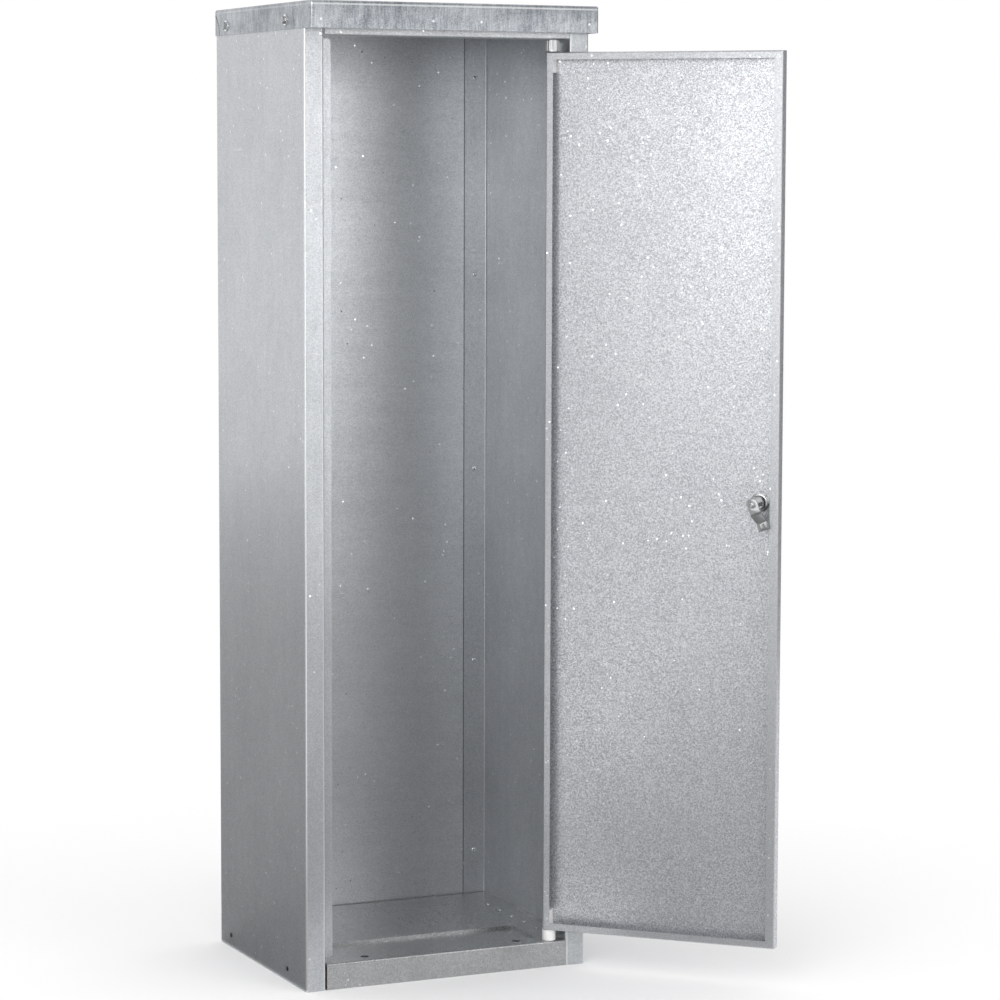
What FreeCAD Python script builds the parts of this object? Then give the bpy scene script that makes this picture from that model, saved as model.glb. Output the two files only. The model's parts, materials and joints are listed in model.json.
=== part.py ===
"""Gas cylinder cabinet: folded sheet-metal housing, hinged door leaf and quarter-turn cam lock.

Millimetres. X runs to the right, Y to the back and Z up. The origin is the middle of the housing's
footprint on the ground. The housing opens to the front, and the door stands open at its stop.
"""
import FreeCAD, Part
import os
import re
import Sketcher

# Driving dimensions, one cell of the sheet each
DIMENSIONS = {
    # Housing of folded sheet
    "body_width": 440,
    "body_depth": 354,
    "overall_height": 1400,
    "sheet": 1.0,
    "bend_inside": 2,
    "post_face": 30,
    "stop_reach": 20.5,
    "stop_corner": 5,
    "stop_end_gap": 3.5,
    "rear_flange": 37,
    "panel_inset": 2,
    "panel_lift": 2,
    # Roof lid
    "roof_flange": 38,
    "roof_front": 30,
    "roof_gap": 0.2,
    "roof_bend_inside": 2,
    "roof_corner_inside": 2.5,
    "lap_radius": 31.3,
    "lap_overhang": 12.6,
    "lap_rise": 2,
    "lap_depth": 0.5,
    # Header rail between the posts
    "header_drop": 9,
    "header_depth": 27,
    "header_tab_setback": 4,
    "front_setback": 1,
    "trim_gap": 2.4,
    "seat_gap": 0.2,
    # Floor tray
    "sill_height": 38,
    "tray_lip": 12,
    "recess_side": 61,
    "recess_front": 32,
    "recess_length": 88,
    "recess_depth": 4,
    "anchor_inset": 38.5,
    "anchor_from_recess": 8,
    "anchor_hole": 13,
    # Rails that carry the floor
    "rail_width": 24,
    "rail_side_gap": 10,
    "rail_front_gap": 2.8,
    "rail_rear_gap": 6.5,
    # Door leaf and its place in the opening
    "pivot_from_post": 22,
    "pivot_setback": 12,
    "door_edge": 5.5,
    "door_side_gap": 11.5,
    "door_face_setback": 5,
    "door_thickness": 20,
    "door_stop_gap": 1,
    "door_bottom_gap": 17,
    "door_top_gap": 18,
    "door_bend_inside": 1,
    "door_rim": 10.5,
    "door_lock_rim": 12.7,
    "door_open_gap": 0.0711,
    # Hinge pins, spacers and pivot blocks
    "pin_diameter": 6,
    "pin_reach": 20,
    "pin_end": 2,
    "pin_tip": 0.8,
    "running_clearance": 0.05,
    "loose_clearance": 0.25,
    "axial_play": 0.2,
    "spacer_diameter": 20,
    "spacer_edge": 0.6,
    "block_height": 28,
    "block_wall": 1.75,
    "hinge_nut_wall": 2,
    "hinge_nut_height": 5,
    # Cam lock
    "lock_inset": 32,
    "lock_height": 697,
    "lock_head_rim": 4,
    "lock_head": 4,
    "lock_head_edge": 1.2,
    "lock_barrel": 18,
    "lock_washer_rim": 2,
    "lock_washer": 1,
    "lock_nut_wall": 3,
    "lock_nut": 6,
    "barrel_wall": 3,
    "rotor_recess": 0.6,
    "key_slot_length": 7,
    "key_slot_width": 1.6,
    "key_slot_depth": 8,
    "shank_square": 7,
    "shank_setback": 0.2,
    "cam_width": 15.5,
    "cam_sheet": 3,
    "cam_crank": 15,
    "cam_flat": 14,
    "cam_slope": 12,
    "cam_end_gap": 3.5,
    "cam_clearance": 2,
    "cam_gap": 0.3,
    "cam_edge": 0.3,
    "cam_rest_angle": 20,
    "cam_washer_diameter": 11,
    "cam_washer": 1,
    "cam_screw_head": 8,
    "cam_screw_head_height": 3,
    "cam_screw_dome": 1.6,
    "cam_screw_diameter": 4,
    "cam_screw_length": 9,
    # Fasteners
    "rivet_diameter": 4,
    "rivet_head": 7,
    "rivet_head_height": 1.4,
    "rivet_dome": 1,
    "rivet_tail": 5.4,
    "rivet_tail_length": 2.2,
    "rivet_fit": 0.05,
    "roof_screw_diameter": 6,
    "roof_screw_rim": 2,
    "roof_screw_head": 4.4,
    "roof_screw_tail": 2,
    "roof_washer_rim": 3,
    "roof_washer": 1.5,
    "roof_nut_height": 5,
    "roof_screw_front": 66,
    "roof_screw_rear": 47,
    "roof_screw_rise": 13.5,
    "base_rivet_front": 74,
    "base_rivet_rear": 46,
    "back_rivet_inset": 20,
    "back_rivet_bottom": 106,
    "back_rivet_top": 94,
    "header_rivet_setback": 15,
    "header_rivet_rise": 22,
    "floor_rivet_front": 47,
    "floor_rivet_rear": 67,
}

BACK_RIVET_ROWS = 5
FLOOR_RIVET_ROWS = 5

# Sizes that follow from the driving dimensions
DERIVED = {
    "bend": "sheet + bend_inside",
    "roof_bend": "sheet + roof_bend_inside",
    "roof_corner": "sheet + roof_corner_inside",
    "door_bend": "sheet + door_bend_inside",
    "half_width": "body_width / 2",
    "front": "-body_depth / 2",
    "rear": "body_depth / 2",
    "wall_top": "overall_height - roof_bend - roof_gap",
    "skirt_bottom": "overall_height - roof_flange",
    "header_bottom": "skirt_bottom - header_drop",
    "post_edge": "half_width - post_face",
    "stop_edge": "post_edge - stop_reach",
    "stop_setback": "door_face_setback + door_thickness + door_stop_gap",
    "stop_face": "front + stop_setback",
    "stop_bottom": "sill_height + stop_end_gap",
    "stop_top": "header_bottom - stop_end_gap",
    "front_face": "front + front_setback",
    "tray_shoulder": "stop_face + sheet + seat_gap",
    "tray_rear": "rear - sheet - bend",
    "tray_side": "half_width - sheet",
    "floor_under": "sill_height - sheet",
    "recess_half": "half_width - recess_side",
    "recess_start": "front + recess_front",
    "recess_end": "recess_start + recess_length",
    "anchor_x": "recess_half - anchor_inset",
    "anchor_y": "recess_start - anchor_from_recess",
    "rail_x": "tray_side - tray_lip - rail_side_gap - rail_width / 2",
    "rail_start": "tray_shoulder + tray_lip + rail_front_gap",
    "rail_end": "tray_rear - tray_lip - rail_rear_gap",
    "pivot_x": "post_edge - pivot_from_post",
    "pivot_y": "front + pivot_setback",
    "door_outside": "door_face_setback - pivot_setback",
    "door_inside": "door_outside + door_thickness",
    "door_free": "door_side_gap - post_edge - pivot_x",
    "door_bottom": "sill_height + door_bottom_gap",
    "door_top": "header_bottom - door_top_gap",
    "post_reach": "sqrt(pivot_from_post ^ 2 + pivot_setback ^ 2)",
    "open_angle": "180 deg - atan(pivot_setback / pivot_from_post)"
    " - asin((door_open_gap - door_outside) / post_reach)",
    "pin_hole": "pin_diameter + 2 * loose_clearance",
    "pin_bore": "pin_diameter + 2 * running_clearance",
    "pin_tail": "hinge_nut_height + pin_end",
    "hinge_nut_flats": "pin_diameter + 2 * hinge_nut_wall",
    "block_free": "-(pin_bore / 2 + block_wall)",
    "block_edge": "door_edge - sheet",
    "lock_x": "door_free + lock_inset",
    "cam_near": "stop_setback + sheet + cam_clearance + cam_crank - pivot_setback",
    "cam_far": "cam_near + cam_sheet",
    "barrel_end": "cam_near - cam_gap",
    "cam_length": "lock_inset + door_side_gap - cam_end_gap",
    "cam_lean": "cam_sheet * (sqrt(cam_crank ^ 2 + cam_slope ^ 2) - cam_slope) / cam_crank",
    "skin_inside": "door_outside + sheet",
    "nut_seat": "skin_inside + lock_washer",
    "lock_head_diameter": "lock_barrel + 2 * lock_head_rim",
    "lock_nut_flats": "lock_barrel + 2 * lock_nut_wall",
    "lock_washer_diameter": "lock_nut_flats + 2 * lock_washer_rim",
    "rotor_diameter": "lock_barrel - 2 * barrel_wall",
    "rotor_face": "door_outside - lock_head + rotor_recess",
    "shank_end": "cam_far - shank_setback",
    "cam_screw_seat": "cam_far + cam_washer",
    "rivet_hole": "rivet_diameter + 2 * rivet_fit",
    "roof_screw_hole": "roof_screw_diameter + 2 * loose_clearance",
    "roof_screw_flats": "roof_screw_diameter + 2 * roof_screw_rim",
    "roof_washer_diameter": "roof_screw_flats + 2 * roof_washer_rim",
    "roof_screw_z": "skirt_bottom + roof_screw_rise",
    "base_rivet_z": "sill_height / 2",
    "header_rivet_z": "header_bottom + header_rivet_rise",
    "header_rivet_y": "front + header_rivet_setback",
    "roof_side": "half_width + roof_gap + sheet",
    "roof_rear": "rear + 2 * sheet + roof_gap",
}

# The plane square to each axis, and the axis whose plane has its normal pointing the other way
PLANES = {"X": "YZ_Plane", "Y": "XZ_Plane", "Z": "XY_Plane"}
BACKWARD_AXIS = "Y"
AXES = "XYZ"
TOUCH = 0.001
LEFT, RIGHT = -1, 1
SIDES = (LEFT, RIGHT)
SIDE_NAMES = {LEFT: "left", RIGHT: "right"}

DOCUMENT = FreeCAD.newDocument("gas_cylinder_cabinet")


def write_sheet():
    """Put the driving dimensions into a sheet, one named cell each."""
    sheet = DOCUMENT.addObject("Spreadsheet::Sheet", "Dims")
    for row, (name, value) in enumerate(DIMENSIONS.items(), start=1):
        sheet.set(f"A{row}", str(value))
        sheet.setAlias(f"A{row}", name)
    DOCUMENT.recompute()
    return sheet


SHEET = write_sheet()
SUBPARTS = []


def formula(text):
    """Write a size, given in words, as an expression over the sheet's cells."""

    def cell(match):
        word = match.group(0)
        if word in DERIVED:
            return f"({formula(DERIVED[word])})"
        return f"Dims.{word}" if word in DIMENSIONS else word

    return re.sub(r"[a-z_]+", cell, str(text))


def number(text):
    """The present value of a size given in words."""
    return float(SHEET.evalExpression(formula(text)))


def new_body(label):
    """Start a sub-part whose label names its file."""
    body = DOCUMENT.addObject("PartDesign::Body", label)
    body.Label = label
    body.AllowCompound = True
    SUBPARTS.append(body)
    return body


def sketch_at(body, name, axis, level):
    """Start a sketch square to an axis, at a level along that axis."""
    sketch = body.newObject("Sketcher::SketchObject", name)
    plane = next(item for item in body.Origin.OriginFeatures if item.Role == PLANES[axis])
    sketch.AttachmentSupport = [(plane, "")]
    sketch.MapMode = "FlatFace"
    offset = f"-({level})" if axis == BACKWARD_AXIS else level
    sketch.setExpression("AttachmentOffset.Base.z", formula(offset))
    return sketch


def tie_point(sketch, geometry, point, place):
    """Hold one point of a sketch at its place, measured from the sketch's origin."""
    for direction, text in zip(("DistanceX", "DistanceY"), place):
        held = Sketcher.Constraint(direction, -1, 1, geometry, point, number(text))
        index = sketch.addConstraint(held)
        sketch.setExpression(f"Constraints[{index}]", formula(text))


def draw_polygon(sketch, corners):
    """Draw a closed outline of straight lines."""
    first = sketch.GeometryCount
    points = [FreeCAD.Vector(number(u), number(v), 0) for u, v in corners]
    count = len(points)
    for index in range(count):
        sketch.addGeometry(Part.LineSegment(points[index], points[(index + 1) % count]))
    for index in range(count):
        following = first + (index + 1) % count
        sketch.addConstraint(Sketcher.Constraint("Coincident", first + index, 2, following, 1))
    for index, corner in enumerate(corners):
        tie_point(sketch, first + index, 1, corner)


def draw_circle(sketch, centre, diameter):
    """Draw a circle of a diameter about a centre."""
    middle = FreeCAD.Vector(number(centre[0]), number(centre[1]), 0)
    normal = FreeCAD.Vector(0, 0, 1)
    circle = sketch.addGeometry(Part.Circle(middle, normal, number(diameter) / 2))
    tie_point(sketch, circle, 3, centre)
    index = sketch.addConstraint(Sketcher.Constraint("Diameter", circle, number(diameter)))
    sketch.setExpression(f"Constraints[{index}]", formula(diameter))


def raise_sketch(body, name, axis, sketch, start, end):
    """Add the sketch's area to the body, from its start to its end along the axis."""
    feature = body.newObject("PartDesign::Pad", name)
    feature.Profile = sketch
    feature.setExpression("Length", f"({formula(end)}) - ({formula(start)})")
    feature.Reversed = axis == BACKWARD_AXIS
    DOCUMENT.recompute()


def sink_sketch(body, name, axis, sketch, start, end):
    """Cut the sketch's area out of the body, from its start to its end along the axis."""
    before = body.Shape.Volume
    feature = body.newObject("PartDesign::Pocket", name)
    feature.Profile = sketch
    feature.setExpression("Length", f"({formula(end)}) - ({formula(start)})")
    feature.Reversed = axis != BACKWARD_AXIS
    DOCUMENT.recompute()
    if body.Shape.Volume >= before - TOUCH:
        raise ValueError(f"{body.Label}: {name} cuts nothing")


def slab(body, name, axis, start, end, *outlines):
    """Add a prism of one or more outlines, each inner one a hole of the outer one."""
    sketch = sketch_at(body, f"{name}_outline", axis, start)
    for corners in outlines:
        draw_polygon(sketch, corners)
    raise_sketch(body, name, axis, sketch, start, end)


def discs(body, name, axis, start, end, centres, *diameters):
    """Add a round prism at each centre, with a hole where a second diameter is given."""
    sketch = sketch_at(body, f"{name}_outline", axis, start)
    for centre in centres:
        for diameter in diameters:
            draw_circle(sketch, centre, diameter)
    raise_sketch(body, name, axis, sketch, start, end)


def cut_slab(body, name, axis, start, end, corners):
    """Cut a prism out of the body."""
    sketch = sketch_at(body, f"{name}_outline", axis, start)
    draw_polygon(sketch, corners)
    sink_sketch(body, name, axis, sketch, start, end)


def drill(body, name, axis, start, end, centres, diameter):
    """Cut a round hole at each centre."""
    sketch = sketch_at(body, f"{name}_outline", axis, start)
    for centre in centres:
        draw_circle(sketch, centre, diameter)
    sink_sketch(body, name, axis, sketch, start, end)


def box(low_u, high_u, low_v, high_v):
    """The corners of a rectangle."""
    return [(low_u, low_v), (high_u, low_v), (high_u, high_v), (low_u, high_v)]


def hexagon(centre, flats):
    """The corners of a hexagon of a width across its flats."""
    u, v = centre
    corner, half = f"{flats} / sqrt(3)", f"{flats} / 2"
    return [
        (f"{u} + {corner}", v),
        (f"{u} + {corner} / 2", f"{v} + {half}"),
        (f"{u} - {corner} / 2", f"{v} + {half}"),
        (f"{u} - {corner}", v),
        (f"{u} - {corner} / 2", f"{v} - {half}"),
        (f"{u} + {corner} / 2", f"{v} - {half}"),
    ]


def straight_edges(shape, axis, places):
    """Names of the edges that run along an axis at the given places across it."""
    across = [AXES.index(other) for other in AXES if other != axis]
    wanted = [[number(text) for text in place] for place in places]

    def lies_at(edge, place):
        ends = [vertex.Point for vertex in edge.Vertexes]
        return len(ends) == 2 and all(
            abs(end[index] - value) < TOUCH for end in ends for index, value in zip(across, place)
        )

    return [
        f"Edge{index}"
        for index, edge in enumerate(shape.Edges, start=1)
        if any(lies_at(edge, place) for place in wanted)
    ]


def rim_edges(shape, axis, level):
    """Names of the round edges that lie square to an axis at a level."""
    wanted = number(level)
    along = AXES.index(axis)
    return [
        f"Edge{index}"
        for index, edge in enumerate(shape.Edges, start=1)
        if isinstance(edge.Curve, Part.Circle)
        and abs(edge.Curve.Center[along] - wanted) < TOUCH
        and abs(abs(edge.Curve.Axis[along]) - 1) < TOUCH
    ]


def round_off(body, name, edges, radius):
    """Round the named edges of the body's last feature."""
    base = body.Tip
    if not edges:
        raise ValueError(f"{body.Label}: {name} finds no edge")
    feature = body.newObject("PartDesign::Fillet", name)
    feature.Base = (base, edges)
    feature.setExpression("Radius", formula(radius))
    DOCUMENT.recompute()


def round_along(body, name, axis, places, radius):
    """Round the straight edges that run along an axis at the given places."""
    round_off(body, name, straight_edges(body.Tip.Shape, axis, places), radius)


def fold(body, name, axis, outer, inner, radius):
    """Round a sheet's bends alike on both faces."""
    round_along(body, f"{name}_outer", axis, outer, radius)
    round_along(body, f"{name}_inner", axis, inner, f"{radius} - sheet")


def hollow(body, name, axis, level):
    """Leave a wall of sheet, open at the flat face that lies at a level along an axis."""
    base = body.Tip
    wanted = number(level)
    along = AXES.index(axis)
    faces = [
        f"Face{index}"
        for index, face in enumerate(base.Shape.Faces, start=1)
        if isinstance(face.Surface, Part.Plane)
        and all(abs(vertex.Point[along] - wanted) < TOUCH for vertex in face.Vertexes)
    ]
    before = body.Shape.Volume
    feature = body.newObject("PartDesign::Thickness", name)
    feature.Base = (base, faces)
    feature.setExpression("Value", formula("sheet"))
    feature.Join = "Intersection"
    feature.Reversed = True
    DOCUMENT.recompute()
    if body.Shape.Volume >= before:
        raise ValueError(f"{body.Label}: {name} hollows nothing")


def ordered(first, second):
    """Two sizes, the smaller first."""
    return (first, second) if number(first) < number(second) else (second, first)


def spread(first, last, count):
    """A row of evenly spaced places from the first to the last."""
    return [f"{first} + ({last} - ({first})) * {index} / {count - 1}" for index in range(count)]


def back_rivet_places(side):
    """Where the back panel's rivets pass through a side wall's rear flange, along X and Z."""
    x = f"{side} * (half_width - back_rivet_inset)"
    rows = spread("back_rivet_bottom", "overall_height - back_rivet_top", BACK_RIVET_ROWS)
    return [(x, z) for z in rows]


def floor_rivet_places(side):
    """Where the floor's rivets pass into a rail, along X and Y."""
    rows = spread("rail_start + floor_rivet_front", "rail_end - floor_rivet_rear", FLOOR_RIVET_ROWS)
    return [(f"{side} * rail_x", y) for y in rows]


# Where fixings pass through a side wall, along Y and Z
ROOF_SCREW_PLACES = [(y, "roof_screw_z") for y in ("front + roof_screw_front", "rear - roof_screw_rear")]
BASE_RIVET_PLACES = [(y, "base_rivet_z") for y in ("front + base_rivet_front", "rear - base_rivet_rear")]
HEADER_RIVET_PLACES = [("header_rivet_y", "header_rivet_z")]
# Where bolts and hinge pins pass through the floor, along X and Y
ANCHOR_PLACES = [(f"{side} * anchor_x", "anchor_y") for side in SIDES]
PIVOT_PLACE = [("pivot_x", "pivot_y")]


def build_side_wall(side):
    """Fold one side wall: post, return and stop flange in front, rear flange behind."""
    body = new_body(f"{SIDE_NAMES[side]}_side_wall")
    outer, inner = f"{side} * half_width", f"{side} * (half_width - sheet)"
    edge, edge_back = f"{side} * post_edge", f"{side} * (post_edge + sheet)"
    rear_edge = f"{side} * (half_width - rear_flange)"
    stop_rear = "stop_face + sheet"
    profile = [
        (outer, "front"), (edge, "front"), (edge, stop_rear), (edge_back, stop_rear),
        (edge_back, "front + sheet"), (inner, "front + sheet"), (inner, "rear - sheet"),
        (rear_edge, "rear - sheet"), (rear_edge, "rear"), (outer, "rear"),
    ]
    slab(body, "wall", "Z", "0", "wall_top", profile)
    stop_edge = f"{side} * stop_edge"
    slab(body, "stop", "Y", "stop_face", stop_rear, box(stop_edge, edge_back, "stop_bottom", "stop_top"))
    stop_ends = [(stop_edge, "stop_bottom"), (stop_edge, "stop_top")]
    round_along(body, "stop_corners", "Y", stop_ends, "stop_corner")
    fold(
        body, "bends", "Z",
        [(outer, "front"), (edge, "front"), (outer, "rear")],
        [(inner, "front + sheet"), (edge_back, "front + sheet"), (inner, "rear - sheet")],
        "bend",
    )
    through = ordered(outer, inner)
    drill(body, "roof_screw_holes", "X", *through, ROOF_SCREW_PLACES, "roof_screw_hole")
    drill(body, "base_rivet_holes", "X", *through, BASE_RIVET_PLACES, "rivet_hole")
    drill(body, "header_rivet_holes", "X", *ordered(edge, edge_back), HEADER_RIVET_PLACES, "rivet_hole")
    drill(body, "back_rivet_holes", "Y", "rear - sheet", "rear", back_rivet_places(side), "rivet_hole")


def build_back_panel():
    """Cut the flat sheet that closes the back."""
    body = new_body("back_panel")
    width = "half_width - panel_inset"
    outline = box(f"-({width})", width, "panel_lift", "wall_top")
    slab(body, "panel", "Y", "rear", "rear + sheet", outline)
    places = back_rivet_places(LEFT) + back_rivet_places(RIGHT)
    drill(body, "rivet_holes", "Y", "rear", "rear + sheet", places, "rivet_hole")


def build_roof_lid():
    """Fold the lid: its skirt hangs far over the front, and each side laps the rear with a round end."""
    body = new_body("roof_lid")
    left, right, fore, aft = "-roof_side", "roof_side", "front - roof_front", "roof_rear"
    slab(body, "lid", "Z", "skirt_bottom", "overall_height", box(left, right, fore, aft))
    corners = [(x, y) for x in (left, right) for y in (fore, aft)]
    round_along(body, "corners", "Z", corners, "roof_corner")
    top = straight_edges(body.Tip.Shape, "X", [(fore, "overall_height"), (aft, "overall_height")])
    round_off(body, "top_bend", top, "roof_bend")
    hollow(body, "skirt", "Z", "skirt_bottom")
    lap = [("roof_rear + lap_overhang", "skirt_bottom + lap_rise")]
    for side in SIDES:
        name, skin = SIDE_NAMES[side], f"{side} * roof_side"
        span = ordered(skin, f"{side} * (roof_side - sheet)")
        drill(body, f"{name}_holes", "X", *span, ROOF_SCREW_PLACES, "roof_screw_hole")
        step = ordered(skin, f"{side} * (roof_side - lap_depth)")
        drill(body, f"{name}_rear_lap", "X", *step, lap, "2 * lap_radius")


def build_header_rail():
    """Fold the channel that joins the posts under the roof and holds the upper hinge pin."""
    body = new_body("header_rail")
    back = "front_face + header_depth"
    inner = "front_face + sheet"
    profile = [
        ("front_face", "header_bottom"), (back, "header_bottom"), (back, "header_bottom + sheet"),
        (inner, "header_bottom + sheet"), (inner, "wall_top - sheet"), (back, "wall_top - sheet"),
        (back, "wall_top"), ("front_face", "wall_top"),
    ]
    slab(body, "channel", "X", "-post_edge", "post_edge", profile)
    fold(
        body, "bends", "X",
        [("front_face", "header_bottom"), ("front_face", "wall_top")],
        [(inner, "header_bottom + sheet"), (inner, "wall_top - sheet")],
        "bend",
    )
    tab = box("front_face + header_tab_setback", back, "header_bottom", "wall_top")
    slab(body, "left_tab", "X", "-post_edge", "sheet - post_edge", tab)
    slab(body, "right_tab", "X", "post_edge - sheet", "post_edge", tab)
    gap = box("-post_edge", "trim_gap - post_edge", "header_bottom", "wall_top")
    cut_slab(body, "left_trim", "Y", "front_face", "front_face + header_tab_setback", gap)
    drill(body, "pin_hole", "Z", "header_bottom", "header_bottom + sheet", PIVOT_PLACE, "pin_hole")
    for side in SIDES:
        span = ordered(f"{side} * post_edge", f"{side} * (post_edge - sheet)")
        drill(body, f"{SIDE_NAMES[side]}_rivet_hole", "X", *span, HEADER_RIVET_PLACES, "rivet_hole")


def tray_outline(inset):
    """The floor's plan, notched round the posts in front, and drawn in by an inset all round."""
    left, right = f"trim_gap - post_edge + {inset}", f"post_edge - seat_gap - {inset}"
    side, fore = f"tray_side - {inset}", f"front_face + {inset}"
    shoulder, aft = f"tray_shoulder + {inset}", f"tray_rear - {inset}"
    return [
        (left, fore), (right, fore), (right, shoulder), (side, shoulder),
        (side, aft), (f"-({side})", aft), (f"-({side})", shoulder), (left, shoulder),
    ]


def build_floor_tray():
    """Fold the floor: an upturned pan with a sill in front, a lip below and a pressed recess."""
    body = new_body("floor_tray")
    outline = tray_outline("0")
    slab(body, "block", "Z", "0", "sill_height", outline)
    sill = straight_edges(body.Tip.Shape, "X", [("front_face", "sill_height")])
    round_off(body, "sill_bend", sill, "bend")
    hollow(body, "pan", "Z", "0")
    slab(body, "lip", "Z", "0", "sheet", outline, tray_outline("tray_lip"))
    recess = box("-recess_half", "recess_half", "recess_start", "recess_end")
    skin = box("-recess_half - sheet", "recess_half + sheet", "recess_start - sheet", "recess_end + sheet")
    slab(body, "recess_skin", "Z", "floor_under - recess_depth", "floor_under", skin)
    cut_slab(body, "recess", "Z", "sill_height - recess_depth", "sill_height", recess)
    through = ("floor_under", "sill_height")
    recess_under = "floor_under - recess_depth"
    drill(body, "anchor_holes", "Z", recess_under, "sill_height", ANCHOR_PLACES, "anchor_hole")
    drill(body, "pin_hole", "Z", *through, PIVOT_PLACE, "pin_hole")
    for side in SIDES:
        name = SIDE_NAMES[side]
        span = ordered(f"{side} * tray_side", f"{side} * (tray_side - sheet)")
        drill(body, f"{name}_base_holes", "X", *span, BASE_RIVET_PLACES, "rivet_hole")
        drill(body, f"{name}_floor_holes", "Z", *through, floor_rivet_places(side), "rivet_hole")


def build_floor_rail(side):
    """Fold one channel that carries the floor down to the ground."""
    body = new_body(f"{SIDE_NAMES[side]}_floor_rail")
    outer, inner = f"{side} * (rail_x + rail_width / 2)", f"{side} * (rail_x - rail_width / 2)"
    web = f"{side} * (rail_x + rail_width / 2 - sheet)"
    profile = [
        (inner, "0"), (outer, "0"), (outer, "floor_under"), (inner, "floor_under"),
        (inner, "floor_under - sheet"), (web, "floor_under - sheet"), (web, "sheet"), (inner, "sheet"),
    ]
    slab(body, "channel", "Y", "rail_start", "rail_end", profile)
    places = floor_rivet_places(side)
    drill(body, "rivet_holes", "Z", "floor_under - sheet", "floor_under", places, "rivet_hole")


def build_rivets(label, groups):
    """Set rivets along an axis, each with a domed head on one face and a set tail on the other.

    A group is an axis, the level of the head's seat, the level of the tail's seat and the places.
    """
    body = new_body(label)
    for index, (axis, head_seat, tail_seat, places) in enumerate(groups):
        outward = 1 if number(head_seat) > number(tail_seat) else -1
        head_top = f"{head_seat} + {outward} * rivet_head_height"
        tail_top = f"{tail_seat} - {outward} * rivet_tail_length"
        discs(body, f"shank_{index}", axis, *ordered(head_seat, tail_seat), places, "rivet_diameter")
        discs(body, f"head_{index}", axis, *ordered(head_seat, head_top), places, "rivet_head")
        discs(body, f"tail_{index}", axis, *ordered(tail_seat, tail_top), places, "rivet_tail")
        round_off(body, f"dome_{index}", rim_edges(body.Tip.Shape, axis, head_top), "rivet_dome")


def build_all_rivets():
    """Set the rivets of the floor, the back, the header and the base."""
    build_rivets("base_rivets", [
        ("X", f"{side} * half_width", f"{side} * (tray_side - sheet)", BASE_RIVET_PLACES) for side in SIDES
    ])
    build_rivets("back_rivets", [
        ("Y", "rear - sheet", "rear + sheet", back_rivet_places(side)) for side in SIDES
    ])
    build_rivets("header_rivets", [
        ("X", f"{side} * (post_edge - sheet)", f"{side} * (post_edge + sheet)", HEADER_RIVET_PLACES)
        for side in SIDES
    ])
    build_rivets("floor_rivets", [
        ("Z", "sill_height", "floor_under - sheet", floor_rivet_places(side)) for side in SIDES
    ])


def build_roof_fixings():
    """Set the roof's screws, with a washer outside and a nut inside each wall."""
    screws, washers, nuts = new_body("roof_screws"), new_body("roof_washers"), new_body("roof_nuts")
    bore = "roof_screw_diameter + 2 * rivet_fit"
    for side in SIDES:
        name = SIDE_NAMES[side]
        skin, wall = f"{side} * roof_side", f"{side} * (half_width - sheet)"
        seat = f"{skin} + {side} * roof_washer"
        top = f"{seat} + {side} * roof_screw_head"
        nut_end = f"{wall} - {side} * roof_nut_height"
        tip = f"{nut_end} - {side} * roof_screw_tail"
        ring = ("roof_washer_diameter", bore)
        discs(washers, f"{name}_ring", "X", *ordered(skin, seat), ROOF_SCREW_PLACES, *ring)
        discs(screws, f"{name}_shank", "X", *ordered(tip, seat), ROOF_SCREW_PLACES, "roof_screw_diameter")
        heads = [hexagon(place, "roof_screw_flats") for place in ROOF_SCREW_PLACES]
        slab(screws, f"{name}_head", "X", *ordered(seat, top), *heads)
        sketch = sketch_at(nuts, f"{name}_nut_outline", "X", ordered(wall, nut_end)[0])
        for place in ROOF_SCREW_PLACES:
            draw_polygon(sketch, hexagon(place, "roof_screw_flats"))
            draw_circle(sketch, place, bore)
        raise_sketch(nuts, f"{name}_nut", "X", sketch, *ordered(wall, nut_end))


def build_hinge_pin(label, low, high):
    """Turn one hinge pin, upright through the pivot."""
    body = new_body(label)
    discs(body, "pin", "Z", low, high, PIVOT_PLACE, "pin_diameter")
    round_off(body, "low_tip", rim_edges(body.Tip.Shape, "Z", low), "pin_tip")
    round_off(body, "high_tip", rim_edges(body.Tip.Shape, "Z", high), "pin_tip")


def build_spacer(label, low, high):
    """Turn one spacer ring that holds the leaf off the housing."""
    body = new_body(label)
    discs(body, "ring", "Z", low, high, PIVOT_PLACE, "spacer_diameter", "pin_bore")
    for name, level in (("low_edge", low), ("high_edge", high)):
        edges = [edge for edge in rim_edges(body.Tip.Shape, "Z", level) if is_outer(body, edge)]
        round_off(body, name, edges, "spacer_edge")


def is_outer(body, edge):
    """Whether a named round edge is a spacer's outer one."""
    return body.Tip.Shape.getElement(edge).Curve.Radius > number("pin_diameter")


def build_hinges():
    """Build the fixed half of both hinges."""
    above = "header_bottom + sheet"
    build_hinge_pin("top_hinge_pin", "door_top - pin_reach", f"{above} + pin_tail")
    build_hinge_pin("bottom_hinge_pin", "floor_under - pin_tail", "door_bottom + pin_reach")
    build_spacer("top_hinge_sleeve", "door_top + axial_play", "header_bottom")
    build_spacer("bottom_hinge_bush", "sill_height", "door_bottom - axial_play")
    nuts = new_body("hinge_nuts")
    levels = {
        "top": (above, f"{above} + hinge_nut_height"),
        "bottom": ("floor_under - hinge_nut_height", "floor_under"),
    }
    for name, (low, high) in levels.items():
        sketch = sketch_at(nuts, f"{name}_outline", "Z", low)
        draw_polygon(sketch, hexagon(PIVOT_PLACE[0], "hinge_nut_flats"))
        draw_circle(sketch, PIVOT_PLACE[0], "pin_bore")
        raise_sketch(nuts, name, "Z", sketch, low, high)


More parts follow.
